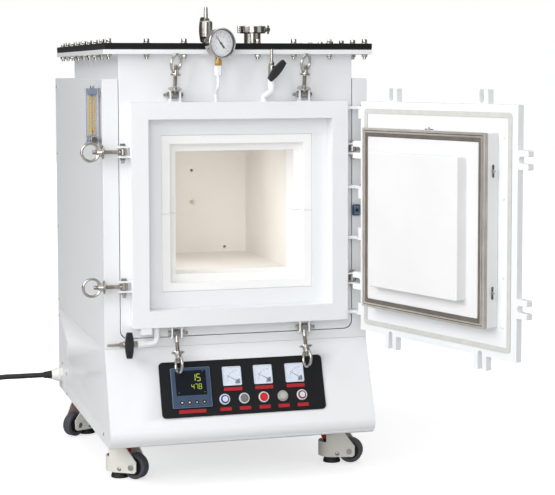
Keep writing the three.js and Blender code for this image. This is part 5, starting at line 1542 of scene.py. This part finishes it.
class FURNACE_OT_valves(FurnaceOperator, bpy.types.Operator):
    """Inlet, outlet and lid valves with their levers"""

    bl_idname = "furnace.valves"
    bl_label = "Valves"

    def make(self, sizes, colours):
        inlet = Matrix.Translation((70, -13, 968.3)) @ Matrix.Rotation(math.radians(20), 4, "Z")
        self.valve("inlet", SMALL_VALVE, inlet, 45)
        outlet = Matrix.Translation((-252.3, 18, 347)) @ Matrix.Rotation(-math.pi / 2, 4, "Y")
        self.valve("outlet", OUTLET_VALVE, outlet, 90)
        lid = Matrix.Translation((-42, 183, LID_TOP + 0.3)) @ Matrix.Rotation(math.pi, 4, "Z")
        self.valve("lid", LARGE_VALVE, lid, 0)

    def valve(self, name, v, place, lever_turn):
        work = Work()
        z1 = v["nut_length"]
        z2 = z1 + v["length"]
        z3 = z2 + v["cap_length"]
        end = z3 + v["barb_length"]
        middle = z1 + v["length"] / 2
        r = v["body"]
        work.add(hexagon(v["nut"], 0.2, z1 - 0.2), "stainless", place, 0.6)
        body = [
            (0, z1 - 0.4),
            (r * 0.82, z1 - 0.4),
            (r, z1 + r * 0.2),
            (r, z2 - r * 0.2),
            (r * 0.82, z2 + 0.2),
            (0, z2 + 0.2),
        ]
        work.add(turned(body), "stainless", place, 0.5)
        work.add(hexagon(r * 0.98, z1 + r * 0.28, z1 + r * 0.62), "stainless", place, 0.4)
        work.add(hexagon(v["cap"], z2, z3), "stainless", place, 0.6)
        barb = [(v["tip"] - 1.4, z3 - 0.5), (v["barb"] * 0.8, z3 - 0.5)]
        step = v["barb_length"] / 4
        for i in range(4):
            big = v["barb"] - (v["barb"] - v["tip"]) * i / 4
            barb += [(big, z3 + i * step + step * 0.15), (big * 0.8, z3 + (i + 1) * step)]
        barb += [(v["tip"] - 1.4, end), (v["tip"] - 1.4, z3 - 0.5)]
        work.add(turned(barb, 28), "stainless", place)
        forward = place @ Matrix.Translation((0, 0, middle)) @ Matrix.Rotation(math.pi / 2, 4, "X")
        work.add(
            turned([(0, 0), (v["stem"] * 1.7, 0), (v["stem"] * 1.7, r + 2.5), (0, r + 2.5)]),
            "stainless",
            forward,
            0.5,
        )
        work.add(
            turned([(0, 0), (v["stem"], 0), (v["stem"], v["reach"]), (0, v["reach"])]),
            "stainless",
            forward,
            0.3,
        )
        work.done(f"{name}_valve_body", "furnace", (f"{name}_valve",))
        grip = Work()
        half, side, tip = 31, 10.5, 6.5
        swell = [(tip + (side - tip) * (1 - (i / 8 - 1) ** 2), half * (i / 8 - 1)) for i in range(17)]
        outline = [*swell, *[(-x, -z) for x, z in swell]]
        front = v["reach"] + 0.3
        handle = forward @ Matrix.Rotation(-math.radians(lever_turn), 4, "Z")
        grip.add(plate(outline, front, front + 8), "grip", handle, 2.4, 4)
        for i in range(5):
            for sign in (-1, 1):
                z = sign * (12 + i * 3.2)
                grip.add(
                    block((-5, 5), (z - 0.7, z + 0.7), (front + 7.2, front + 8.0)), "grip", handle, 0.3
                )
        grip.done(f"{name}_lever_grip", f"{name}_lever", (f"{name}_valve_lever",))


class FURNACE_OT_gauge(FurnaceOperator, bpy.types.Operator):
    """Pressure gauge with its dial, needle and glass"""

    bl_idname = "furnace.gauge"
    bl_label = "Pressure gauge"

    def make(self, sizes, colours):
        place = Matrix.Translation((-60, -13, 1053)) @ Matrix.Rotation(math.radians(16), 4, "Z")
        front = place @ Matrix.Rotation(math.pi / 2, 4, "X")
        work = Work()
        face = 13
        case = [
            (0, -6.4),
            (31, -6.4),
            (33.4, -4.5),
            (33.4, 16.4),
            (34.4, 17),
            (36, 17.4),
            (36, 20.6),
            (34.8, 22),
            (32.9, 22),
            (32.6, 21.2),
            (32.5, face + 0.1),
            (0, face + 0.1),
        ]
        work.add(turned(case, 64), "bright_steel", front, 0.4)
        # Black ring just inside the bezel, from the dial up to the glass: painted shade of the bezel's rim
        # falling on the dial
        work.add(
            turned([(31.6, face), (32.45, face), (32.45, 21), (31.6, 21), (31.6, face)], 64), "dark", front
        )
        work.add(
            turned([(0, face), (31.7, face), (31.7, face + 0.25), (0, face + 0.25)], 64), "dial", front
        )
        self.scale(work, front, face + 0.3)
        work.add(rod((0, 0, -51.6), (0, 0, -32), 6.2), "brass", place, 0.4)
        low = Matrix.Translation((0, 0, -51.7))
        work.add(hexagon(9.4, 0, 12.6), "brass", place @ low, 0.8)
        work.add(turned([(0, face), (1, face), (1, face + 2.2), (0, face + 2.4)], 16), "brass", front)
        work.add(
            rod((0, 0, -32), (0, 0, -35.4), 8),
            "bright_steel",
            place @ Matrix.Translation((0, 0, 0.4)),
            edge=0.4,
        )
        work.done("gauge_case", "furnace", ("pressure_gauge",))
        needle = Work()
        blade = [
            (-14, -2.4),
            (-13.2, -2.6),
            (-5, -1.9),
            (0, -1.2),
            (22.6, -0.5),
            (23, 0),
            (22.6, 0.5),
            (0, 1.2),
            (-5, 1.9),
            (-13.2, 2.6),
            (-14, 2.4),
        ]
        turn = front @ Matrix.Rotation(math.radians(128), 4, "Z")
        needle.add(plate(blade, face + 0.5, face + 1.2), "ink_black", turn, 0.1)
        needle.add(tube((0, 0, face + 0.4), (0, 0, face + 1.5), 3, 1.4, 28), "ink_black", turn, 0.2)
        needle.done("gauge_pointer", "gauge_needle", ("gauge_needle",))
        glass = Work()
        glass.add(turned([(0, 20.9), (31.5, 20.9), (31.5, 21.6), (0, 21.9)], 64), "clear", front)
        glass.done("gauge_glass", "furnace")

    def scale(self, work, front, z):
        """Tick marks, a coloured arc and numbers round the dial."""
        for i in range(51):
            a = math.radians(225 - 270 * i / 50)
            long = i % 5 == 0
            inner, outer = (22.5 if long else 24.5), 27.5
            half = 0.32 if long else 0.16
            mark = plate([(inner, -half), (outer, -half), (outer, half), (inner, half)], z, z + 0.12)
            work.add(mark, "ink_black", front @ Matrix.Rotation(a, 4, "Z"))
        arc = corner_arc(0, 0, 21.1, 225, -45, 60) + corner_arc(0, 0, 20.5, -45, 225, 60)
        work.add(plate(arc, z, z + 0.1), "ink_red", front)
        for i in range(11):
            a = math.radians(225 - 270 * i / 10)
            self.number(work, front, str(i if i < 10 else 10), 16.6 * math.cos(a), 16.6 * math.sin(a), z)

    def number(self, work, front, text, x, y, z):
        add_digits(work, "ink_black", front @ Matrix.Translation((x, y, z)), text, 3.2, 0.12, 0.45)


SEGMENTS = {"0": "abcdef", "1": "bc", "2": "abged", "3": "abgcd", "4": "fgbc", "5": "afgcd", "6": "afgedc",
            "7": "abc", "8": "abcdefg", "9": "abcdfg"}


def add_digits(work, finish, place, text, height, thick, stroke):
    """Seven-segment digits, centred, standing on the place's Z axis."""
    width = height * 0.5
    step = width * 1.5
    half = height / 2
    lines = {
        "a": ((0, height), (width, height)),
        "b": ((width, half), (width, height)),
        "c": ((width, 0), (width, half)),
        "d": ((0, 0), (width, 0)),
        "e": ((0, 0), (0, half)),
        "f": ((0, half), (0, height)),
        "g": ((0, half), (width, half)),
    }
    start = -(step * len(text) - (step - width)) / 2
    s = stroke / 2
    for i, digit in enumerate(text):
        for line in SEGMENTS[digit]:
            (x0, y0), (x1, y1) = lines[line]
            x0, x1 = x0 + start + i * step, x1 + start + i * step
            y0, y1 = y0 - half, y1 - half
            if x0 == x1:
                form = [
                    (x0 - s, y0 + s * 1.2),
                    (x0, y0 + s * 0.3),
                    (x0 + s, y0 + s * 1.2),
                    (x0 + s, y1 - s * 1.2),
                    (x0, y1 - s * 0.3),
                    (x0 - s, y1 - s * 1.2),
                ]
            else:
                form = [
                    (x0 + s * 1.2, y0 - s),
                    (x1 - s * 1.2, y0 - s),
                    (x1 - s * 0.3, y0),
                    (x1 - s * 1.2, y0 + s),
                    (x0 + s * 1.2, y0 + s),
                    (x0 + s * 0.3, y0),
                ]
            work.add(plate(form, 0, thick), finish, place)


class FURNACE_OT_vacuum_port(FurnaceOperator, bpy.types.Operator):
    """Vacuum port with its cap and clamp ring"""

    bl_idname = "furnace.vacuum_port"
    bl_label = "Vacuum port"

    def make(self, sizes, colours):
        place = Matrix.Translation((76, 183, LID_TOP + 0.3))
        port = Work()
        wall = [(18, 0), (23, 0), (20.5, 3), (20.5, 30), (27.5, 32.5), (27.5, 36), (18, 36), (18, 0)]
        port.add(turned(wall, 56), "stainless", place, 0.4)
        port.done("port_tube", "furnace", ("vacuum_port",))
        cap = Work()
        profile = [
            (0, 36.3),
            (27.5, 36.3),
            (27.5, 38.6),
            (24, 41.6),
            (22.8, 42.4),
            (14, 42.4),
            (13, 41.8),
            (0, 41.8),
        ]
        cap.add(turned(profile, 56), "bright_steel", place, 0.3)
        cap.done("port_cap", "furnace", ("vacuum_cap",))
        clamp = Work()
        middle = 36.15
        section = [
            (24.2, middle - 9),
            (31.6, middle - 9),
            (33, middle - 7.4),
            (33, middle + 7.4),
            (31.6, middle + 9),
            (24.2, middle + 9),
            (24.2, middle + 6.8),
            (27.9, middle + 4.7),
            (27.9, middle - 4.7),
            (24.2, middle - 6.8),
            (24.2, middle - 9),
        ]
        clamp.add(self.part_ring(section, 4, 356), "bright_steel", place, 0.4)
        for side in (-1, 1):
            y = sorted((side * 1.8, side * 10))
            clamp.add(
                plate(rectangle(28, y[0], 43, y[1], 1.5, 3), middle - 4.5, middle + 4.5),
                "bright_steel",
                place,
                0.7,
            )
        screw = place @ Matrix.Translation((37, 0, middle))
        clamp.add(threaded((0, -13, 0), (0, 18, 0), 3, 1.25), "zinc", screw)
        clamp.add(rod((0, 10, 0), (0, 14, 0), 5.5, steps=6), "zinc", screw, 0.5)
        clamp.add(rod((0, -13.4, 0), (0, -9.8, 0), 5.6, 4.4), "bright_steel", screw, 0.4)
        for side in (-1, 1):
            wing = [
                (-2.6, side * 3.4),
                (2.6, side * 3.4),
                (3.0, side * 8.5),
                (1.4, side * 11),
                (-1.4, side * 11),
                (-3.0, side * 8.5),
            ]
            clamp.add(plate(wing if side > 0 else wing[::-1], 10.8, 13), "bright_steel",
                      screw @ Matrix.Rotation(math.pi / 2, 4, "X"), 0.8, 3)
        hinge = place @ Matrix.Translation((-34.4, 0, middle))
        clamp.add(rod((0, 0, -8.4), (0, 0, 8.4), 2.6), "zinc", hinge, 0.4)
        for low in (-8, -2.4, 3.4):
            clamp.add(tube((0, 0, low), (0, 0, low + 4.6), 4, 2.6), "bright_steel", hinge, 0.3)
        clamp.done("port_clamp", "furnace", ("vacuum_clamp",))

    def part_ring(self, section, start, end, steps=64):
        points, faces = [], []
        section = section[:-1]
        n = len(section)
        for i in range(steps + 1):
            a = math.radians(start + (end - start) * i / steps)
            points += [(r * math.cos(a), r * math.sin(a), z) for r, z in section]
        for i in range(steps):
            for k in range(n):
                m = (k + 1) % n
                faces.append((i * n + k, (i + 1) * n + k, (i + 1) * n + m, i * n + m))
        faces += [tuple(range(n)), tuple(range(steps * n + n - 1, steps * n - 1, -1))]
        return points, faces


class FURNACE_OT_flow_meter(FurnaceOperator, bpy.types.Operator):
    """Gas flow meter with its scale, float and knob"""

    bl_idname = "furnace.flow_meter"
    bl_label = "Flow meter"

    def make(self, sizes, colours):
        work = Work()
        x0, x1 = -361.3, -328.3
        y0, y1 = 50, 78
        for low, high in ((818, 838), (934, 950)):
            work.add(block((x0 + 4, x1 - 6), (y0 + 1, y1), (low + 1, high - 1)), "slate_acrylic", edge=1.0)
            work.add(block((x0, x1), (y0, y1 + 0.2), (low, high)), "acrylic", edge=1.2)
        work.add(rod((-345, 64, 949), (-345, 64, 955), 5), "stainless", edge=0.5)
        for z in (828, 942):
            work.add(rod((-330.3, 64, z), (-326.3, 64, z), 6), "zinc", edge=0.3)
            work.add(rod((-329.5, 64, z), (-326.3, 64, z), 9, steps=6), "zinc", edge=0.4)
        work.add(rod((-345, 51, 829), (-345, 44, 829), 3), "zinc")
        work.add(rod((-345, 50.4, 829), (-345, 48.4, 829), 6.5), "zinc", edge=0.3)
        work.add(block((-358.6, -334), (64, 73), (837, 935)), "flow_case", edge=0.8)
        work.add(block((-334, -329), (66, 76), (837, 935)), "acrylic", edge=0.8)
        work.add(block((-354.8, -338.2), (63.4, 64.3), (842, 931)), "scale_yellow")
        for i in range(29):
            z = 848 + i * 77 / 28
            long = i % 4 == 0
            work.add(
                block((-353.2, -349.6 if long else -351.4), (63.2, 63.5), (z - 0.3, z + 0.3)), "ink_black"
            )
            work.add(
                block((-342.8 if long else -341, -339.2), (63.2, 63.5), (z - 0.3, z + 0.3)), "ink_black"
            )
        work.add(tube((-346.2, 60.4, 838), (-346.2, 60.4, 934), 2.2, 1.5, 24), "clear")
        work.add(turned([(0, 0), (1.5, 2), (1.5, 4.5), (0.9, 6), (0, 6)], 20), "ink_black",
                 Matrix.Translation((-346.2, 60.4, 846)))
        work.add(block((-357.8, -331.8), (52.2, 63.3), (837.6, 934.4)), "acrylic", edge=2.0, steps=3)
        work.done("flow_meter_block", "furnace", ("flow_meter",))
        knob = Work()
        front = Matrix.Translation((-345, 50, 829)) @ Matrix.Rotation(math.pi / 2, 4, "X")
        cup = [(3.5, 0.4), (8.2, 0.4), (8.6, 1), (8.6, 11), (7.6, 12.2), (0, 12.2), (0, 8.8), (3.5, 8.8)]
        knob.add(
            turned([*cup, cup[0]]),
            "bright_steel",
            front,
            0.3,
        )
        rib = Work()
        rib.add(block((-0.45, 0.45), (-0.45, 0.45), (0, 9.2)), "stainless", edge=0.15)
        knob.done("flow_knob_body", "flow_knob", ("flow_meter_knob",))
        places = [front @ Matrix.Rotation(math.tau * i / 36, 4, "Z") @ Matrix.Translation((8.7, 0, 1.6))
                  for i in range(36)]
        carried(copies("flow_knob_ribs", places, rib, "bright_steel"), "flow_knob")


class FURNACE_OT_switch(FurnaceOperator, bpy.types.Operator):
    """Door switch on the housing's front"""

    bl_idname = "furnace.switch"
    bl_label = "Door switch"

    def make(self, sizes, colours):
        work = Work()
        front = Matrix.Translation((298, 39.7, 649)) @ Matrix.Rotation(math.pi / 2, 4, "X")
        work.add(plate(rectangle(-9.5, -13.5, 9.5, 13.5, 3, 6), 0, 8.4), "switch_blue", front, 1.0, 3)
        work.add(plate(rectangle(-7.2, -11.2, 7.2, 11.2, 2, 5), 8, 10), "slate_edge", front, 0.6)
        work.add(turned([(0, 9), (4.4, 9), (4.4, 11), (0, 11)], 32), "ink_black", front, 0.3)
        work.add(turned([(0, 9), (3, 9), (3, 13.2), (2.2, 14), (0, 14)], 32), "ink_black", front)
        for x, z in ((-6.2, 9.8), (6.2, -9.8)):
            work.add(turned([(0, 9.8), (1.6, 9.8), (1.5, 10.5), (0, 10.8)], 20), "zinc",
                     front @ Matrix.Translation((x, z, 0)))
        work.done("door_switch_case", "furnace", ("door_switch",))


# Control panel: local x right, local y up the slope, local z out of it, from the slope's top edge
SLOPE = Matrix.Translation((0, 40, 334)) @ Matrix.Rotation(math.pi / 2 - SLOPE_ANGLE, 4, "X")
PANEL_TOP = 2.8
CONTROLLER_MIDDLE = (-126.5, -102)
CONTROLLER_HOLE = 90.6
METER_ROW = -79.6
BUTTON_ROW = -134.2
METER_PLACES = (-25, 52, 131)
BUTTON_PLACES = (-47, 1, 49.5, 97, 145)


class FURNACE_OT_panel(FurnaceOperator, bpy.types.Operator):
    """Control panel with its controller, meters, buttons and label plates"""

    bl_idname = "furnace.panel"
    bl_label = "Control panel"

    def make(self, sizes, colours):
        self.sheet()
        self.controller()
        for i, x in enumerate(METER_PLACES):
            self.meter(i, x)
        for i, x in enumerate(BUTTON_PLACES):
            self.button(i, x)
        self.labels()

    def sheet(self):
        work = Work()
        x, y = CONTROLLER_MIDDLE
        half = CONTROLLER_HOLE / 2
        holes = [rectangle(x - half, y - half, x + half, y + half)]
        holes += [circle(x, METER_ROW, 19.3) for x in METER_PLACES]
        holes += [circle(x, BUTTON_ROW, 10.1) for x in BUTTON_PLACES]
        work.add(
            plate(rectangle(-201, -171.5, 203, -38.5, 10, 8), 0.3, PANEL_TOP, holes),
            "panel_black",
            SLOPE,
            0.5,
        )
        rings = ("bezel_white", "bezel_white", "bezel_white", "lens_pale", "bezel_white")
        for x, finish in zip(BUTTON_PLACES, rings):
            collar = [(10.1, 1.5), (13, 1.5), (13, 4.4), (12, 6.6), (10.6, 6.8), (10.1, 6.2), (10.1, 1.5)]
            work.add(turned(collar, 48), finish, SLOPE @ Matrix.Translation((x, BUTTON_ROW, 0)), 0.3)
        work.done("panel_sheet", "furnace", ("control_panel",))

    def controller(self):
        work = Work()
        face = 3.1
        place = SLOPE @ Matrix.Translation((*CONTROLLER_MIDDLE, 0))
        work.add(plate(rectangle(-48, -48, 48, 48, 2.5, 4), face, face + 4.2), "slate_edge", place, 0.6, 3)
        work.add(
            plate(rectangle(-46.6, -46.6, 46.6, 46.6, 2, 4), face + 4.1, face + 4.6), "slate", place, 0.2
        )
        work.add(block((-45, 45), (-45, 45), (-70, face + 0.2)), "ink_black", place, 0.8)
        z = face + 4.85
        work.add(plate(rectangle(-37.5, -18.5, 37, 40.5, 1.5, 3), face + 4.5, z), "display", place, 0.1)
        add_digits(work, "digit_green", place @ Matrix.Translation((12.5, 23, z)), "15", 16, 0.1, 1.5)
        add_digits(work, "digit_green", place @ Matrix.Translation((12.5, 1.5, z)), "478", 12, 0.1, 1.0)
        for x, y in ((30, 38), (-31, -12), (31.5, -12)):
            work.add(plate(circle(x, y, 0.7, 12), z, z + 0.1), "digit_green", place)
        for i in range(4):
            x = 1.5 + (i - 1.5) * 18
            key = place @ Matrix.Translation((x, -35.5, face + 4.5))
            work.add(turned([(0, 0), (6.6, 0), (6.6, 0.25), (0, 0.25)], 32), "slate_edge", key)
            work.add(turned([(0, 0.2), (6, 0.2), (6, 0.5), (4.8, 0.7), (0, 0.75)], 32), "key_dark", key)
            mark = rectangle(-2.2, -1.4, 2.2, 1.4, 1.3, 6) if i < 2 else [(-2.2, -1.4), (2.2, -1.4), (0, 2)]
            work.add(plate(mark, 0.74, 0.85), "ink_white", key)
            for y, wide in ((7.4, 0.8), (-7.2, 2.2)):
                work.add(plate(rectangle(-wide, y - 0.35, wide, y + 0.35), 0.05, 0.15), "slate_edge", key)
        work.done("controller_case", "furnace", ("temperature_controller",))

    def meter(self, i, x):
        work = Work()
        face = 3.1
        place = SLOPE @ Matrix.Translation((x, METER_ROW, 0))
        work.add(
            plate(
                rectangle(-23, -23, 23, 23, 3, 6),
                face,
                face + 2.6,
                [rectangle(-20.6, -20.6, 20.6, 20.6, 2, 4)],
            ),
            "meter_case",
            place,
            0.7,
            3,
        )
        work.add(plate(rectangle(-20.8, -20.8, 20.8, 20.8), face, face + 1.0), "meter_face", place)
        work.add(rod((0, 0, -38), (0, 0, face + 0.2), 18), "ink_black", place, 0.6)
        z = face + 1.02
        corner = Matrix.Translation((14, -12.5, z))
        for k in range(21):
            a = math.radians(92 + 86 * k / 20)
            long = k % 5 == 0
            inner, outer = (23.2 if long else 25), 27
            half = 0.3 if long else 0.16
            mark = plate([(inner, -half), (outer, -half), (outer, half), (inner, half)], 0, 0.1)
            work.add(mark, "ink_black", place @ corner @ Matrix.Rotation(a, 4, "Z"))
        needle = [(0, -0.7), (30, -0.35), (30, 0.35), (0, 0.7)]
        work.add(
            plate(needle, 0.5, 0.75),
            "ink_black",
            place @ corner @ Matrix.Rotation(math.radians(151 - 2 * i), 4, "Z"),
        )
        hub = [(0, 0), (0, 11.5), *[(11.5 * math.cos(a), 11.5 * math.sin(a)) for a in
               [math.radians(90 + 90 * k / 12) for k in range(1, 13)]]]
        work.add(plate(hub, 0.9, 1.5), "hub_grey", place @ Matrix.Translation((18.6, -18.6, z)), 0.2)
        work.add(
            plate(rectangle(-20.4, -20.4, 20.4, 20.4, 2, 4), face + 2.6, face + 4.4), "clear", place, 0.9, 3
        )
        work.done(f"meter_{i + 1}_case", "furnace", (f"panel_meter_{i + 1}",))

    def button(self, i, x):
        work = Work()
        place = SLOPE @ Matrix.Translation((x, BUTTON_ROW, 0))
        outer = ("lens_blue", "lens_grey", "lens_red", "lens_pale", "lens_wine")[i]
        inner = ("lens_light", "lens_grey", "lens_red", "lens_pale", "lens_light")[i]
        work.add(
            turned([(0, -3), (11.5, -3), (11.5, 0), (9.4, 0), (9.4, 7.4), (8.4, 8.6), (0, 8.7)], 48),
            outer,
            place,
            0.2,
        )
        if outer != inner:
            work.add(turned([(0, 8.4), (6.8, 8.4), (6.8, 8.78), (0, 8.8)], 40), inner, place, 0.1)
        else:
            work.add(
                turned([(6.2, 8.5), (7.4, 8.5), (7.2, 8.78), (6.4, 8.78), (6.2, 8.5)], 40), inner, place
            )
        work.done(f"button_{i + 1}_cap", f"button_{i + 1}", (f"push_button_{i + 1}",))

    def labels(self):
        work = Work()
        for x in METER_PLACES:
            self.label(work, x + 1, -110.5, 45, 8.4)
        for x in BUTTON_PLACES:
            self.label(work, x + 1, -157.6, 28, 8.5)
        self.label(work, -127, -158.2, 66, 8.6)
        work.done("label_plates", "furnace")

    def label(self, work, x, y, width, height):
        place = SLOPE @ Matrix.Translation((x, y, 0))
        w, h = width / 2, height / 2
        work.add(
            plate(rectangle(-w, -h, w, h, 1.2, 3), PANEL_TOP, PANEL_TOP + 0.7), "label_red", place, 0.2
        )


class FURNACE_OT_casters(FurnaceOperator, bpy.types.Operator):
    """Levelling casters with their feet, adjuster rings and wheels"""

    bl_idname = "furnace.casters"
    bl_label = "Levelling casters"

    def make(self, sizes, colours):
        for name, x, y, turn in (("front_left", -272, 150, -46), ("front_right", 272, 150, -27),
                                 ("rear_left", -272, 650, 215), ("rear_right", 272, 650, 160)):
            place = Matrix.Translation((x, y, 0)) @ Matrix.Rotation(math.radians(turn), 4, "Z")
            self.caster(name, place)
            self.wheel(name, place @ Matrix.Translation((48, 0, 32)) @ STANDING)

    def caster(self, name, place):
        work = Work()
        body = f"caster_{name}"
        self.bracket(work, place)
        work.add(
            turned([(0, 0), (22, 0), (22, 3), (21.4, 5), (19.4, 13.6), (0, 14)], 48),
            "foot_black",
            place,
            0.8,
            3,
        )
        work.add(
            turned([(0, 13.5), (12, 13.5), (12, 17), (8, 19), (8, 48), (0, 48)], 36), "zinc", place, 0.4
        )
        work.add(threaded((0, 0, 19), (0, 0, 48), 8, 2.0), "zinc", place)
        work.add(
            turned([(0, 48), (20, 48), (21, 49.5), (21, 61), (19, 62.4), (0, 62.4)], 48),
            "foot_black",
            place,
            0.5,
        )
        work.add(
            turned([(0, 62.2), (25, 62.2), (25.6, 63.5), (25.6, 84.5), (25, 86), (0, 86)], 48),
            "ring_red",
            place,
            0.6,
        )
        work.add(turned([(0, 85.6), (9, 85.6), (9, 99), (0, 99)], 36), "zinc", place)
        work.done(f"{body}_fork", body, (body,))
        rib = Work()
        rib.add(plate(rectangle(-1.5, -1.1, 1.3, 1.1, 0.5, 2), 0, 20.4), "ring_red", edge=0.3)
        places = [
            place
            @ Matrix.Rotation(math.tau * i / 30, 4, "Z")
            @ Matrix.Translation((25.6, 0, 64))
            for i in range(30)
        ]
        carried(copies(f"{body}_ribs", places, rib, "ring_red"), body)

    def bracket(self, work, place):
        """The pressed fork: a flat blank with its window, bent round the swivel."""
        radius, wall, top, tail, shoulder = 34, 3, 101.7, 62, 20
        lean = math.atan2(radius - 20, tail)
        arc = radius * (math.pi / 2 + lean)
        start = radius * math.sin(lean)
        end = arc + (tail - start) / math.cos(lean)
        step = arc + (shoulder - start) / math.cos(lean)
        side = [(end, 46), (step, top)]
        outline = [
            (-end + 5, 18),
            (end - 5, 18),
            (end, 23),
            *side,
            *[(-x, z) for x, z in reversed(side)],
            (-end, 23),
        ]
        reach = radius * (math.pi - math.acos(-1 / 4))
        window = rectangle(-reach, 55, reach, 90, 3, 3)
        points, faces = plate(outline, 0, wall, [window])
        sheet = bmesh.new()
        made = [sheet.verts.new(p) for p in points]
        for face in faces:
            sheet.faces.new([made[i] for i in face])
        bends = 36
        for i in range(bends + 1):
            bmesh.ops.bisect_plane(
                sheet, geom=[*sheet.verts, *sheet.edges, *sheet.faces],
                plane_co=(-arc + 2 * arc * i / bends, 0, 0), plane_no=(1, 0, 0),
            )
        for point in sheet.verts:
            along, height, deep = point.co
            past = max(abs(along) - arc, 0)
            angle = math.pi - math.copysign(min(abs(along), arc), along) / radius
            x, y = math.cos(angle), math.sin(angle)
            way = math.copysign(1, along)
            point.co = ((radius - deep) * x + past * y * way, (radius - deep) * y - past * x * way, height)
        bmesh.ops.recalc_face_normals(sheet, faces=sheet.faces)
        work.take(sheet, "caster_cream", place, 0.7, 2, 60)
        turn = 90 - math.degrees(lean)
        cover = corner_arc(0, 0, 33.6, turn, 360 - turn, 28) + [(shoulder, -29.6), (shoulder, 29.6)]
        work.add(plate(cover, 97.7, top), "caster_cream", place, 0.8)
        for side in (-1, 1):
            work.add(turned([(0, -1), (5.2, -1), (5.2, 0.8), (4, 2.2), (0, 2.4)], 28), "zinc",
                     place @ aimed((19, side * 30.4, 27), (math.sin(lean), side * math.cos(lean), 0)))
        axle = place @ Matrix.Translation((48, 0, 32)) @ STANDING
        work.add(turned([(0, -24), (5, -24), (5, 24), (0, 24)], 32), "zinc", axle)
        for way in (0, math.pi):
            end_on = axle @ Matrix.Rotation(way, 4, "X")
            work.add(hexagon(8, 20, 25.6), "zinc", end_on, 0.6)
            work.add(turned([(0, 19.8), (9.6, 19.8), (9.6, 21), (0, 21)], 32), "zinc", end_on)

    def wheel(self, name, place):
        work = Work()
        tread = [
            (22, -12), (29.4, -12), (31, -10), (31, 10), (29.4, 12), (22, 12), (21, 9), (21, -9), (22, -12)
        ]
        work.add(turned(tread, 56), "wheel_grey", place, 0.7)
        core = [
            (5.9, -12), (10, -12), (11, -7), (21.4, -6), (21.4, 6), (11, 7), (10, 12), (5.9, 12), (5.9, -12)
        ]
        work.add(turned(core, 56), "foot_black", place, 0.4)
        for i in range(6):
            spoke = place @ Matrix.Rotation(math.tau * i / 6, 4, "Z")
            work.add(block((10, 21.5), (-1.6, 1.6), (-9.5, 9.5)), "foot_black", spoke, 0.5)
        work.done(f"caster_wheel_{name}", f"wheel_{name}", (f"wheel_{name}",))


class FURNACE_PT_panel(bpy.types.Panel):
    """Lists the furnace's sizes, colours and operators."""

    bl_idname = "FURNACE_PT_panel"
    bl_label = "Muffle furnace"
    bl_space_type = "VIEW_3D"
    bl_region_type = "UI"
    bl_category = "Furnace"

    def draw(self, context):
        layout = self.layout
        for group in (context.scene.furnace_sizes, context.scene.furnace_colours):
            box = layout.box()
            for name in group.__annotations__:
                box.prop(group, name)
        for operator in OPERATORS:
            layout.operator(operator.bl_idname)


OPERATORS = (
    FURNACE_OT_stage,
    FURNACE_OT_cable,
    FURNACE_OT_cabinet,
    FURNACE_OT_lid,
    FURNACE_OT_chamber,
    FURNACE_OT_door_frame,
    FURNACE_OT_clamps,
    FURNACE_OT_door,
    FURNACE_OT_valves,
    FURNACE_OT_gauge,
    FURNACE_OT_vacuum_port,
    FURNACE_OT_flow_meter,
    FURNACE_OT_switch,
    FURNACE_OT_panel,
    FURNACE_OT_casters,
)
CLASSES = (FurnaceSizes, FurnaceColours, *OPERATORS, FURNACE_PT_panel)


def register():
    for item in CLASSES:
        bpy.utils.register_class(item)
    bpy.types.Scene.furnace_sizes = PointerProperty(type=FurnaceSizes)
    bpy.types.Scene.furnace_colours = PointerProperty(type=FurnaceColours)


def unregister():
    del bpy.types.Scene.furnace_colours
    del bpy.types.Scene.furnace_sizes
    for item in reversed(CLASSES):
        bpy.utils.unregister_class(item)


def main():
    register()
    for operator in OPERATORS:
        group, name = operator.bl_idname.split(".")
        getattr(getattr(bpy.ops, group), name)()


if __name__ == "__main__":
    main()
